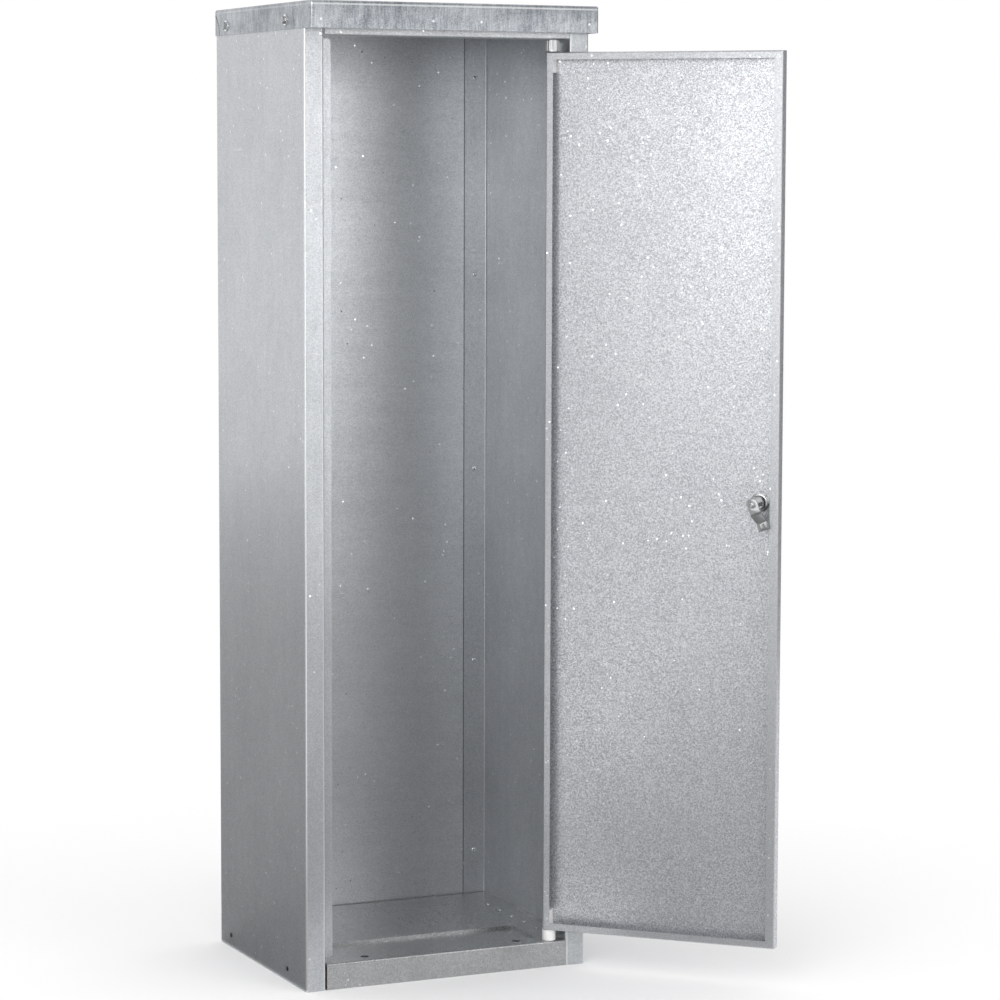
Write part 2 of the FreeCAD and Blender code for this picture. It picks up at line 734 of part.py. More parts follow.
def hang_on_door(body):
    """Swing a piece, drawn about the pivot with the door shut, to where the door stands open."""
    pivot = FreeCAD.Vector(number("pivot_x"), number("pivot_y"), 0)
    upright = FreeCAD.Vector(0, 0, 1)
    body.Placement = FreeCAD.Placement(pivot, FreeCAD.Rotation(upright, number("open_angle")))


def turn_with_cam(body):
    """Turn a piece, drawn about the lock's axis with the lever down, to its rest on the open door."""
    hang_on_door(body)
    lock = FreeCAD.Vector(number("lock_x"), 0, number("lock_height"))
    inward = FreeCAD.Vector(0, 1, 0)
    turn = FreeCAD.Placement(lock, FreeCAD.Rotation(inward, number("cam_rest_angle")))
    body.Placement = body.Placement.multiply(turn)


LOCK_PLACE = [("lock_x", "lock_height")]
HUB_PLACE = [("0", "0")]
LEAF_PIVOT = [("0", "0")]


def build_door_leaf():
    """Fold the door: a pan whose edges return into a rim all round."""
    body = new_body("door_leaf")
    plan = box("door_free", "door_edge", "door_outside", "door_inside")
    slab(body, "block", "Z", "door_bottom", "door_top", plan)
    hollow(body, "pan", "Y", "door_inside")
    outer = box("door_free", "door_edge", "door_bottom", "door_top")
    inner = box(
        "door_free + door_lock_rim", "door_edge - door_rim", "door_bottom + door_rim", "door_top - door_rim"
    )
    slab(body, "rim", "Y", "door_inside - sheet", "door_inside", outer, inner)
    for name, level in (("face", "door_outside"), ("rim", "door_inside")):
        sides = [("door_free", level), ("door_edge", level)]
        ends = [(level, "door_bottom"), (level, "door_top")]
        edges = straight_edges(body.Tip.Shape, "Z", sides) + straight_edges(body.Tip.Shape, "X", ends)
        round_off(body, f"{name}_bends", edges, "door_bend")
    hole = "lock_barrel + 2 * loose_clearance"
    drill(body, "lock_hole", "Y", "door_outside", "skin_inside", LOCK_PLACE, hole)
    drill(body, "low_pin_hole", "Z", "door_bottom", "door_bottom + sheet", LEAF_PIVOT, "pin_hole")
    drill(body, "high_pin_hole", "Z", "door_top - sheet", "door_top", LEAF_PIVOT, "pin_hole")
    hang_on_door(body)


def build_pivot_block(label, low, high):
    """Mould one block that fills the leaf's corner behind the rim and runs on a hinge pin."""
    body = new_body(label)
    plan = box("block_free", "block_edge", "skin_inside", "door_inside - sheet")
    slab(body, "block", "Z", low, high, plan)
    outside = [(x, "skin_inside") for x in ("block_free", "block_edge")]
    round_along(body, "bend_relief", "Z", outside, "door_bend")
    drill(body, "bore", "Z", low, high, LEAF_PIVOT, "pin_bore")
    hang_on_door(body)


def build_lock():
    """Build the lock's fixed pieces on the leaf."""
    housing = new_body("lock_housing")
    head_front = "door_outside - lock_head"
    discs(housing, "head", "Y", head_front, "door_outside", LOCK_PLACE, "lock_head_diameter")
    round_off(housing, "head_edge", rim_edges(housing.Tip.Shape, "Y", head_front), "lock_head_edge")
    discs(housing, "barrel", "Y", "door_outside", "barrel_end", LOCK_PLACE, "lock_barrel")
    bore = "rotor_diameter + 2 * running_clearance"
    drill(housing, "rotor_bore", "Y", head_front, "barrel_end", LOCK_PLACE, bore)
    hang_on_door(housing)
    thread_bore = "lock_barrel + 2 * rivet_fit"
    washer = new_body("lock_washer")
    discs(washer, "ring", "Y", "skin_inside", "nut_seat", LOCK_PLACE, "lock_washer_diameter", thread_bore)
    hang_on_door(washer)
    nut = new_body("lock_nut")
    sketch = sketch_at(nut, "nut_outline", "Y", "nut_seat")
    draw_polygon(sketch, hexagon(LOCK_PLACE[0], "lock_nut_flats"))
    draw_circle(sketch, LOCK_PLACE[0], thread_bore)
    raise_sketch(nut, "nut", "Y", sketch, "nut_seat", "nut_seat + lock_nut")
    hang_on_door(nut)


def build_latch():
    """Build the pieces that turn with the key: rotor, cranked lever, washer and screw."""
    rotor = new_body("lock_rotor")
    discs(rotor, "drum", "Y", "rotor_face", "barrel_end", HUB_PLACE, "rotor_diameter")
    half = "shank_square / 2"
    slab(rotor, "shank", "Y", "barrel_end", "shank_end", box(f"-{half}", half, f"-{half}", half))
    slot = box("-key_slot_width / 2", "key_slot_width / 2", "-key_slot_length / 2", "key_slot_length / 2")
    cut_slab(rotor, "key_slot", "Y", "rotor_face", "rotor_face + key_slot_depth", slot)
    screw_bore = "cam_screw_diameter + 2 * rivet_fit"
    screw_end = "cam_screw_seat - cam_screw_length"
    drill(rotor, "screw_hole", "Y", screw_end, "shank_end", HUB_PLACE, screw_bore)
    turn_with_cam(rotor)

    lever = new_body("cam_lever")
    low_near, low_far = "cam_near - cam_crank", "cam_far - cam_crank"
    top, knee = "cam_width / 2", "-cam_flat"
    ankle, tip = "-cam_flat - cam_slope", "-cam_length"
    profile = [
        ("cam_near", top), ("cam_near", knee), (low_near, ankle), (low_near, tip), (low_far, tip),
        (low_far, f"{ankle} - cam_lean"), ("cam_far", f"{knee} - cam_lean"), ("cam_far", top),
    ]
    slab(lever, "strap", "X", "-cam_width / 2", "cam_width / 2", profile)
    ends = [("-cam_width / 2", top), ("cam_width / 2", top)]
    round_along(lever, "hub_end", "Y", ends, "cam_width / 2 - cam_edge")
    fit = "shank_square / 2 + rivet_fit"
    cut_slab(lever, "shank_hole", "Y", "cam_near", "cam_far", box(f"-({fit})", fit, f"-({fit})", fit))
    turn_with_cam(lever)

    washer = new_body("cam_washer")
    seats = ("cam_far", "cam_screw_seat")
    discs(washer, "ring", "Y", *seats, HUB_PLACE, "cam_washer_diameter", screw_bore)
    turn_with_cam(washer)

    screw = new_body("cam_screw")
    head_top = "cam_screw_seat + cam_screw_head_height"
    discs(screw, "shank", "Y", screw_end, "cam_screw_seat", HUB_PLACE, "cam_screw_diameter")
    discs(screw, "head", "Y", "cam_screw_seat", head_top, HUB_PLACE, "cam_screw_head")
    round_off(screw, "head_dome", rim_edges(screw.Tip.Shape, "Y", head_top), "cam_screw_dome")
    turn_with_cam(screw)


def build_cabinet():
    """Build every sub-part."""
    for side in SIDES:
        build_side_wall(side)
        build_floor_rail(side)
    build_back_panel()
    build_roof_lid()
    build_header_rail()
    build_floor_tray()
    build_all_rivets()
    build_roof_fixings()
    build_hinges()
    build_door_leaf()
    build_pivot_block("lower_pivot_block", "door_bottom + sheet", "door_bottom + sheet + block_height")
    build_pivot_block("upper_pivot_block", "door_top - sheet - block_height", "door_top - sheet")
    build_lock()
    build_latch()


def check_document():
    """Stop if a feature failed or a sub-part has no sound solid."""
    DOCUMENT.recompute()
    for item in DOCUMENT.Objects:
        if "Invalid" in item.State or "Error" in item.State:
            raise ValueError(f"{item.Label} failed: {item.State}")
    for body in SUBPARTS:
        if body.Shape.isNull() or not body.Shape.isValid() or not body.Shape.Solids:
            raise ValueError(f"{body.Label} has no sound solid")


def write_parts():
    """Write each sub-part to its own file."""
    os.makedirs("parts", exist_ok=True)
    for body in SUBPARTS:
        body.Shape.exportStep(f"parts/{body.Label}.step")
        print(f"{body.Label}: {len(body.Shape.Solids)} solids, {body.Shape.Volume:.0f} mm3")


build_cabinet()
check_document()
write_parts()
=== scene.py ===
"""Gas cylinder cabinet: galvanised finishes, set rivets, hinge, cam lock, studio and camera.

Metres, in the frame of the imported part: +X to the right, +Y to the back and +Z up. The housing
opens to the front, towards -Y, and the door stands open at its stop.
"""
import json
import logging
import math
from abc import ABC, abstractmethod
from collections.abc import Callable, Iterable
from dataclasses import dataclass, replace
from enum import Enum
from functools import reduce

import bpy
import numpy as np
from mathutils import Matrix, Vector


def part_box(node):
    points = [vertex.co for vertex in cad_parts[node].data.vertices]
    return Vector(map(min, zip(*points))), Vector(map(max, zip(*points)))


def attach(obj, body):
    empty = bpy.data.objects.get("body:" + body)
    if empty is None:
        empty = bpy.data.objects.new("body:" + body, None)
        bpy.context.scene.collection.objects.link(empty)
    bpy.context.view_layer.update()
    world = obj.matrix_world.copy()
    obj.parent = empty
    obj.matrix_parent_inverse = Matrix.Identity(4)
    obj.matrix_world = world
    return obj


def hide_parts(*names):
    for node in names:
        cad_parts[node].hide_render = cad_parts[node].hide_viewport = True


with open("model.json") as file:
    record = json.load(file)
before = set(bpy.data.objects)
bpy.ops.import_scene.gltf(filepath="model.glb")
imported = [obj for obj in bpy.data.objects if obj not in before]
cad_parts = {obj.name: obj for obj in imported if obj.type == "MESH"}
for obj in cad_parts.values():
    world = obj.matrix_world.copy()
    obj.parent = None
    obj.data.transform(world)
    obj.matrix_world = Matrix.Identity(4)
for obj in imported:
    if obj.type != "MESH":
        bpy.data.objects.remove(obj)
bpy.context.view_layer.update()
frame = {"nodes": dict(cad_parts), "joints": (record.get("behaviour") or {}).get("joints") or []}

LOG = logging.getLogger("gas_cylinder_cabinet")
MM = 0.001
TOUCH = 0.01 * MM
UP = Vector((0, 0, 1))
NOISE_SPAN = (0.3, 0.7)  # where nearly all of a noise's values lie

Span = tuple[float, float]
Triple = tuple[float, float, float]
Colour = Triple
Rings = list[Span]
Box = tuple[Vector, Vector]
Chooser = Callable[[Vector], bool]
Material = bpy.types.Material
Node = bpy.types.Node
Socket = bpy.types.NodeSocket
Tree = bpy.types.NodeTree


class Body(Enum):
    """The bodies that pieces ride on."""

    CABINET = "cabinet"
    DOOR = "door"
    LATCH = "latch"


class Slot(Enum):
    """The record's material slots that the new pieces' finishes stand for."""

    FIXINGS = "zinc_fixings"
    SLEEVE = "hinge_sleeve"
    NYLON = "white_nylon"
    CHROME = "lock_chrome"


class Cut(Enum):
    """What a cutting tool leaves of a piece."""

    COMMON = "INTERSECT"
    REST = "DIFFERENCE"
    BOTH = "UNION"


class Rolling(Enum):
    """The way a sheet was rolled, as how far its streaks are drawn out along each axis."""

    UPRIGHT = (1.0, 1.0, 0.12)
    ACROSS = (0.12, 1.0, 1.0)
    DEEP = (1.0, 0.12, 1.0)


class Gauge:
    """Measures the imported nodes."""

    @staticmethod
    def points(node: str) -> np.ndarray:
        """All corners of a node's mesh."""
        vertices = frame["nodes"][node].data.vertices
        flat = np.zeros(len(vertices) * 3, np.float32)
        vertices.foreach_get("co", flat)
        return flat.reshape(-1, 3).astype(float)

    @classmethod
    def solids(cls, node: str) -> list[Box]:
        """Find the separate solids of a node.

        Args:
            node: The node's name.

        Returns:
            The lowest and highest corner of each solid, in a steady order.
        """
        points = cls.points(node)
        mesh = frame["nodes"][node].data
        flat = np.zeros(len(mesh.loops), np.int32)
        mesh.loops.foreach_get("vertex_index", flat)
        _, corner = np.unique(np.round(points / TOUCH), axis=0, return_inverse=True)
        corner = corner.reshape(-1)
        triangles = corner[flat].reshape(-1, 3)
        label = np.arange(corner.max() + 1)
        while True:
            lowest = label.copy()
            np.minimum.at(lowest, triangles, label[triangles].min(axis=1)[:, None])
            if (lowest == label).all():
                break
            label = lowest
        groups = [points[label[corner] == value] for value in np.unique(label)]
        boxes = [(Vector(group.min(axis=0)), Vector(group.max(axis=0))) for group in groups]
        return sorted(boxes, key=lambda box: tuple(round(value / MM) for value in box[0]))

    @classmethod
    def size(cls, node: str) -> Vector:
        """The width, depth and height of a node's first solid."""
        low, high = cls.solids(node)[0]
        return high - low

    @classmethod
    def reach(cls, node: str, origin: Vector, axis: Vector) -> Span:
        """How far a node reaches along an axis from an origin, lowest and highest."""
        along = (cls.points(node) - np.array(origin)) @ np.array(axis)
        return float(along.min()), float(along.max())

    @classmethod
    def girth(cls, node: str, origin: Vector, axis: Vector) -> float:
        """How far a node reaches out from an axis through an origin."""
        offset = cls.points(node) - np.array(origin)
        along = offset @ np.array(axis)
        across = offset - along[:, None] * np.array(axis)
        return float(np.linalg.norm(across, axis=1).max())


class Workpiece:
    """A mesh that is shaped on the bench about the origin and then placed in the frame."""

    SHARP = math.radians(40)

    def __init__(self, name: str, item: bpy.types.Object) -> None:
        """Take up an object under a piece's name."""
        self.item = item
        item.name = name
        item.data.name = name

    @classmethod
    def start(
        cls, name: str, add: Callable[..., set[str]], stretch: Triple = (1, 1, 1), **sizes: object
    ) -> "Workpiece":
        """Add a primitive with nothing else selected, its place in its mesh.

        Args:
            name: The piece's name.
            add: The operator that adds the primitive.
            stretch: How far it is stretched along each axis about its middle.
            **sizes: The operator's own settings.

        Returns:
            The new piece.
        """
        bpy.ops.object.select_all(action="DESELECT")
        add(**sizes)
        piece = cls(name, bpy.context.active_object)
        piece.item.scale = stretch
        bpy.ops.object.transform_apply(location=True, rotation=True, scale=True)
        return piece

    @classmethod
    def turned(cls, name: str, rings: Rings, sides: int = 48, bored: bool = False) -> "Workpiece":
        """Turn a piece about Z by drawing a circle out ring by ring.

        Args:
            name: The piece's name.
            rings: Radius and height of each ring.
            sides: How many sides the circle has.
            bored: Whether the last ring joins the first round a bore, or both ends are closed.

        Returns:
            The turned piece.
        """
        radius, level = rings[0]
        piece = cls.start(
            name, bpy.ops.mesh.primitive_circle_add, vertices=sides, radius=radius,
            location=(0, 0, level), fill_type="NOTHING" if bored else "NGON",
        )
        piece.open("EDGE" if bored else "FACE")
        bpy.ops.mesh.select_all(action="SELECT")
        for (radius, level), (next_radius, next_level) in zip(rings, rings[1:]):
            rise = {"value": (0, 0, next_level - level)}
            bpy.ops.mesh.extrude_region_move(TRANSFORM_OT_translate=rise)
            share = next_radius / radius
            bpy.ops.transform.resize(value=(share, share, 1), center_override=(0, 0, next_level))
        if bored:
            bpy.ops.mesh.select_non_manifold(extend=False)
            bpy.ops.mesh.bridge_edge_loops()
        piece.close()
        return piece

    @classmethod
    def hexagon(cls, name: str, flats: float, low: float, high: float) -> "Workpiece":
        """A six-sided bar along Z, with a width across its flats."""
        return cls.start(
            name, bpy.ops.mesh.primitive_cylinder_add, vertices=6, radius=flats / math.sqrt(3),
            depth=high - low, location=(0, 0, (low + high) / 2),
        )

    @classmethod
    def block(cls, name: str, low: Triple, high: Triple) -> "Workpiece":
        """A box between two corners."""
        middle = [(a + b) / 2 for a, b in zip(low, high)]
        size = [b - a for a, b in zip(low, high)]
        return cls.start(name, bpy.ops.mesh.primitive_cube_add, stretch=size, size=1, location=middle)

    def select(self) -> None:
        """Make this the only selected object, and the active one."""
        bpy.ops.object.select_all(action="DESELECT")
        self.item.select_set(True)
        bpy.context.view_layer.objects.active = self.item

    def open(self, mode: str) -> None:
        """Go to edit mode and pick corners, edges or faces there."""
        self.select()
        bpy.ops.object.mode_set(mode="EDIT")
        bpy.ops.mesh.select_mode(type=mode)

    def close(self) -> None:
        """Turn the faces outward and leave edit mode."""
        bpy.ops.mesh.select_all(action="SELECT")
        bpy.ops.mesh.normals_make_consistent(inside=False)
        bpy.ops.object.mode_set(mode="OBJECT")

    def pick(self, wanted: Chooser, mode: str = "VERT") -> None:
        """Select, in edit mode, corners or what lies between them.

        Args:
            wanted: Which corners are picked.
            mode: Whether they, their edges or their faces are selected.
        """
        bpy.ops.mesh.select_mode(type="VERT")
        bpy.ops.mesh.select_all(action="DESELECT")
        bpy.ops.object.mode_set(mode="OBJECT")
        for vertex in self.item.data.vertices:
            vertex.select = wanted(vertex.co)
        bpy.ops.object.mode_set(mode="EDIT")
        bpy.ops.mesh.select_mode(type=mode)

    def apply(self, kind: str, **settings: object) -> None:
        """Put a modifier on the piece and apply it."""
        modifier = self.item.modifiers.new(kind.title(), kind)
        for name, value in settings.items():
            setattr(modifier, name, value)
        self.select()
        bpy.ops.object.modifier_apply(modifier=modifier.name)

    def combine(self, tool: "Workpiece", cut: Cut) -> "Workpiece":
        """Cut this piece by a tool, or join them, and use the tool up."""
        self.apply("BOOLEAN", operation=cut.value, solver="EXACT", object=tool.item)
        bpy.data.objects.remove(tool.item)
        return self

    def soften(self, width: float, segments: int = 2) -> "Workpiece":
        """Break the sharp edges."""
        self.apply(
            "BEVEL", width=width, segments=segments, limit_method="ANGLE",
            angle_limit=self.SHARP, use_clamp_overlap=True,
        )
        return self

    def smooth(self, degrees: float = 35) -> "Workpiece":
        """Shade rounded stretches smooth and keep the edges."""
        self.select()
        bpy.ops.object.shade_smooth_by_angle(angle=math.radians(degrees))
        return self

    def dress(self, finish: "Finish", wanted: Chooser | None = None) -> "Workpiece":
        """Dress the piece in a finish.

        Args:
            finish: The finish.
            wanted: Which faces get it, by their middle; all of them if not given.

        Returns:
            The piece itself.
        """
        materials = self.item.data.materials
        materials.append(Finishes.get(finish))
        for face in self.item.data.polygons:
            if wanted is None or wanted(face.center):
                face.material_index = len(materials) - 1
        return self

    def place(self, matrix: Matrix) -> "Workpiece":
        """Move the mesh to its place in the frame."""
        self.item.data.transform(matrix)
        return self

    def repeat(self, places: list[Matrix]) -> "Workpiece":
        """Use the piece up in copies that are joined.

        Args:
            places: Where each copy goes.

        Returns:
            The joined copies, under the piece's name.
        """
        name = self.item.name
        copies = []
        for place in places:
            copy = self.item.copy()
            copy.data = self.item.data.copy()
            copy.data.transform(place)
            bpy.context.collection.objects.link(copy)
            copies.append(copy)
        bpy.data.objects.remove(self.item)
        bpy.ops.object.select_all(action="DESELECT")
        for copy in copies:
            copy.select_set(True)
        bpy.context.view_layer.objects.active = copies[0]
        bpy.ops.object.join()
        return Workpiece(name, copies[0])

    def hand_over(self, body: Body, slot: Slot, *nodes: str) -> None:
        """Let the piece ride on a body and stand for its nodes.

        Args:
            body: The body that carries it.
            slot: The record's slot of its finish; not used.
            *nodes: The nodes that it stands for.
        """
        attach(self.item, body.value)
        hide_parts(*nodes)
        LOG.info("%s rides on %s and stands for %s", self.item.name, body.value, ", ".join(nodes))


def by_name(sockets: Iterable[Socket]) -> dict[str, Socket]:
    """Sockets under their names."""
    return {socket.name: socket for socket in sockets}


class NodeBench:
    """Adds nodes to a tree and joins their sockets."""

    def __init__(self, tree: Tree) -> None:
        """Start with an empty tree."""
        self.tree = tree
        tree.nodes.clear()

    def feed(self, socket: Socket, value: object) -> None:
        """Link a socket to another, or set its value."""
        if isinstance(value, Socket):
            self.tree.links.new(value, socket)
        else:
            socket.default_value = value

    def add(self, kind: str, inputs: dict[str, object] | None = None, **settings: object) -> Node:
        """Add a node.

        Args:
            kind: The node's type without its prefix.
            inputs: What feeds its sockets, by their names.
            **settings: The node's own properties.

        Returns:
            The new node.
        """
        node = self.tree.nodes.new(f"ShaderNode{kind}")
        for name, value in settings.items():
            setattr(node, name, value)
        for name, value in (inputs or {}).items():
            self.feed(node.inputs[name], value)
        return node

    def work_out(self, kind: str, operation: str, values: tuple[object, ...]) -> dict[str, Socket]:
        """What a node puts out that works on values in their order."""
        node = self.add(kind, operation=operation)
        for socket, value in zip(node.inputs, values):
            self.feed(socket, value)
        return by_name(node.outputs)

    def math(self, operation: str, *values: object) -> Socket:
        """The outcome of a sum on numbers or sockets."""
        return self.work_out("Math", operation, values)["Value"]

    def vector(self, operation: str, *values: object) -> Socket:
        """The outcome of a sum on vectors or sockets."""
        number = operation in ("LENGTH", "DOT_PRODUCT")
        return self.work_out("VectorMath", operation, values)["Value" if number else "Vector"]

    def weigh(self, *parts: tuple[Socket, float]) -> Socket:
        """The sum of some values, each times its share."""
        shares = [self.math("MULTIPLY", *part) for part in parts]
        return reduce(lambda total, share: self.math("ADD", total, share), shares)

    def mirrored(self, place: object) -> Socket:
        """Coordinates whose X counts outward from the middle."""
        parts = self.add("SeparateXYZ", {"Vector": place}).outputs
        inputs = {"X": self.math("ABSOLUTE", parts["X"]), "Y": parts["Y"], "Z": parts["Z"]}
        return self.add("CombineXYZ", inputs).outputs[0]

    def blend(self, share: object, first: object, second: object) -> Socket:
        """Mix two colours.

        Args:
            share: How much of the second there is, from 0 to 1.
            first: A colour or a socket.
            second: A colour or a socket.

        Returns:
            The mixed colour.
        """
        node = self.add("Mix", data_type="RGBA")
        sockets = {socket.identifier: socket for socket in node.inputs}
        self.feed(sockets["Factor_Float"], share)
        for identifier, value in (("A_Color", first), ("B_Color", second)):
            self.feed(sockets[identifier], (*value, 1) if isinstance(value, tuple) else value)
        return next(socket for socket in node.outputs if socket.identifier == "Result_Color")

    def ramp(self, value: object, span: Span, out: Span = (0, 1)) -> Socket:
        """A value carried from one span to another, and held there."""
        names = ("From Min", "From Max", "To Min", "To Max")
        inputs = {"Value": value, **dict(zip(names, (*span, *out)))}
        return self.add("MapRange", inputs).outputs["Result"]

    def stretch(self, place: object, scale: Triple, turn: Triple = (0, 0, 0)) -> Socket:
        """Coordinates that are drawn out and turned."""
        angles = tuple(math.radians(angle) for angle in turn)
        inputs = {"Vector": place, "Scale": scale, "Rotation": angles}
        return self.add("Mapping", inputs).outputs[0]

    def noise(self, place: object, scale: object, detail: float = 2, rough: float = 0.5) -> Socket:
        """Cloudy noise between 0 and 1."""
        inputs = {"Vector": place, "Scale": scale, "Detail": detail, "Roughness": rough}
        return self.add("TexNoise", inputs).outputs[0]

    def bump(self, height: Socket, **inputs: Socket) -> Socket:
        """The way a surface looks that a height in metres makes uneven."""
        return self.add("Bump", {"Height": height, "Distance": 1.0, **inputs}).outputs[0]


class Surface(NodeBench):
    """A material with a plain shader, and the object's coordinates to paint it by."""

    def __init__(self, name: str) -> None:
        """Start the material."""
        self.material = bpy.data.materials.new(name)
        self.material.use_nodes = True
        super().__init__(self.material.node_tree)
        self.shader = self.add("BsdfPrincipled")
        self.end = self.add("OutputMaterial", {"Surface": self.shader.outputs[0]})
        self.place = self.add("TexCoord").outputs["Object"]

    def coat(self, inputs: dict[str, object]) -> Material:
        """Feed the shader's sockets, by their names, and hand out the material."""
        for name, value in inputs.items():
            self.feed(self.shader.inputs[name], value)
        return self.material


class SurfaceGroups:
    """Effects that several finishes share, each a node group that is built once."""

    # Shares of a tone, ratios between two scales, scales, and the spans in which a mask fades in.
    CRYSTAL_SHARE = 0.45
    CLOUD_RATIO = 0.55
    FLAKE_RATIO = 0.36
    FLAKE_CORE = (0.25, 0.6)
    FINE_SHARE = 0.65
    WIDE_RATIO = 0.12
    LARGE_SHARE = 0.7
    SMALL_RATIO = 7.0
    HAIR_SLANTS = ((31, 12, 24), (-22, 38, -17))
    HAIR_STRETCH = (1.0, 0.035, 1.0)
    HAIR_LINES = 260.0
    HAIR_EDGE = (0.70, 0.76)
    PATCHES = 6.0
    PATCH_EDGE = (0.55, 0.7)
    WAVES = 2.4
    RIPPLES = 9.0
    RIPPLE_SHARE = 0.12

    _built: dict[str, Tree] = {}

    @classmethod
    def place(cls, bench: NodeBench, name: str, **inputs: object) -> dict[str, Socket]:
        """Put one of the groups into a material.

        Args:
            bench: The material's bench.
            name: The group's name, which is also that of the method that builds it.
            **inputs: What feeds the group's sockets.

        Returns:
            What the group puts out.
        """
        if name not in cls._built:
            cls._built[name] = getattr(cls, f"_{name}")(name)
        return by_name(bench.add("Group", inputs, node_tree=cls._built[name]).outputs)

    @staticmethod
    def _open(
        name: str, values: dict[str, float], outputs: list[str], kind: str = "Float"
    ) -> tuple[NodeBench, dict[str, Socket]]:
        """Start a group that takes coordinates and some values.

        Args:
            name: The group's name.
            values: Its inputs beside the coordinates, with their usual values.
            outputs: The names of what it puts out.
            kind: The kind of the last of them; the others are numbers.

        Returns:
            The group's bench and what is given to it.
        """
        tree = bpy.data.node_groups.new(name, "ShaderNodeTree")
        tree.interface.new_socket("Vector", in_out="INPUT", socket_type="NodeSocketVector")
        for key, value in values.items():
            socket = tree.interface.new_socket(key, in_out="INPUT", socket_type="NodeSocketFloat")
            socket.default_value = value
        for key in outputs:
            sort = kind if key == outputs[-1] else "Float"
            tree.interface.new_socket(key, in_out="OUTPUT", socket_type=f"NodeSocket{sort}")
        bench = NodeBench(tree)
        return bench, by_name(tree.nodes.new("NodeGroupInput").outputs)

    @staticmethod
    def _shut(bench: NodeBench, **outputs: Socket) -> Tree:
        """Join what a group puts out to its end."""
        end = bench.tree.nodes.new("NodeGroupOutput")
        for key, socket in outputs.items():
            bench.feed(end.inputs[key], socket)
        return bench.tree

    @classmethod
    def _spangle(cls, name: str) -> Tree:
        """Zinc crystals: a tone for each, the few that catch the light, and how those lean."""
        values = {"Grains": 400.0, "Lit": 0.06, "Lean": 0.3}
        bench, given = cls._open(name, values, ["Tone", "Sparkle", "Tilt"], "Vector")
        place, grains = given["Vector"], given["Grains"]
        cells = bench.add("TexVoronoi", {"Vector": place, "Scale": grains}).outputs
        crystal = bench.add("SeparateColor", {"Color": cells["Color"]}).outputs[0]
        cloud = bench.noise(place, bench.math("MULTIPLY", grains, cls.CLOUD_RATIO), detail=3, rough=0.65)
        tone = bench.weigh((crystal, cls.CRYSTAL_SHARE), (cloud, 1 - cls.CRYSTAL_SHARE))
        coarse = bench.math("MULTIPLY", grains, cls.FLAKE_RATIO)
        flake = bench.add("TexVoronoi", {"Vector": place, "Scale": coarse}).outputs
        draw = bench.add("SeparateColor", {"Color": flake["Color"]}).outputs[1]
        chosen = bench.math("LESS_THAN", draw, given["Lit"])
        core = bench.ramp(flake["Distance"], cls.FLAKE_CORE, (1, 0))
        sparkle = bench.math("MULTIPLY", chosen, core)
        lean = bench.vector("SUBTRACT", flake["Color"], (0.5, 0.5, 0.5))
        tilt = bench.vector("MULTIPLY", lean, bench.math("MULTIPLY", sparkle, given["Lean"]))
        return cls._shut(bench, Tone=tone, Sparkle=sparkle, Tilt=tilt)

    @classmethod
    def _streaks(cls, name: str) -> Tree:
        """Fine lines along the way a sheet was rolled, from coordinates drawn out that way."""
        bench, given = cls._open(name, {"Lines": 500.0}, ["Tone"])
        fine = bench.noise(given["Vector"], given["Lines"], detail=4, rough=0.6)
        wide = bench.noise(given["Vector"], bench.math("MULTIPLY", given["Lines"], cls.WIDE_RATIO))
        return cls._shut(bench, Tone=bench.weigh((fine, cls.FINE_SHARE), (wide, 1 - cls.FINE_SHARE)))

    @classmethod
    def _bloom(cls, name: str) -> Tree:
        """Dull and bright clouds of the zinc's weathered skin."""
        bench, given = cls._open(name, {"Clouds": 9.0}, ["Tone"])
        large = bench.noise(given["Vector"], given["Clouds"], detail=5, rough=0.62)
        finer = bench.math("MULTIPLY", given["Clouds"], cls.SMALL_RATIO)
        small = bench.noise(given["Vector"], finer, detail=3)
        return cls._shut(bench, Tone=bench.weigh((large, cls.LARGE_SHARE), (small, 1 - cls.LARGE_SHARE)))

    @classmethod
    def _scuffs(cls, name: str) -> Tree:
        """Sparse hair scratches from handling, in two slants."""
        bench, given = cls._open(name, {"Amount": 0.5}, ["Mask"])
        place = given["Vector"]
        patch = bench.ramp(bench.noise(place, cls.PATCHES, detail=1), cls.PATCH_EDGE)
        found = []
        for turn in cls.HAIR_SLANTS:
            line = bench.noise(bench.stretch(place, cls.HAIR_STRETCH, turn), cls.HAIR_LINES)
            found.append(bench.math("MULTIPLY", bench.ramp(line, cls.HAIR_EDGE), patch))
        mask = bench.math("MULTIPLY", bench.math("MAXIMUM", *found), given["Amount"])
        return cls._shut(bench, Mask=mask)

    @classmethod
    def _waves(cls, name: str) -> Tree:
        """The shallow unevenness of thin sheet, as a height in metres."""
        bench, given = cls._open(name, {"Depth": 0.6 * MM}, ["Height"])
        wave = bench.noise(given["Vector"], cls.WAVES, detail=1, rough=0.4)
        ripple = bench.noise(given["Vector"], cls.RIPPLES, rough=0.45)
        uneven = bench.math("ADD", wave, bench.math("MULTIPLY", ripple, cls.RIPPLE_SHARE))
        return cls._shut(bench, Height=bench.math("MULTIPLY", uneven, given["Depth"]))


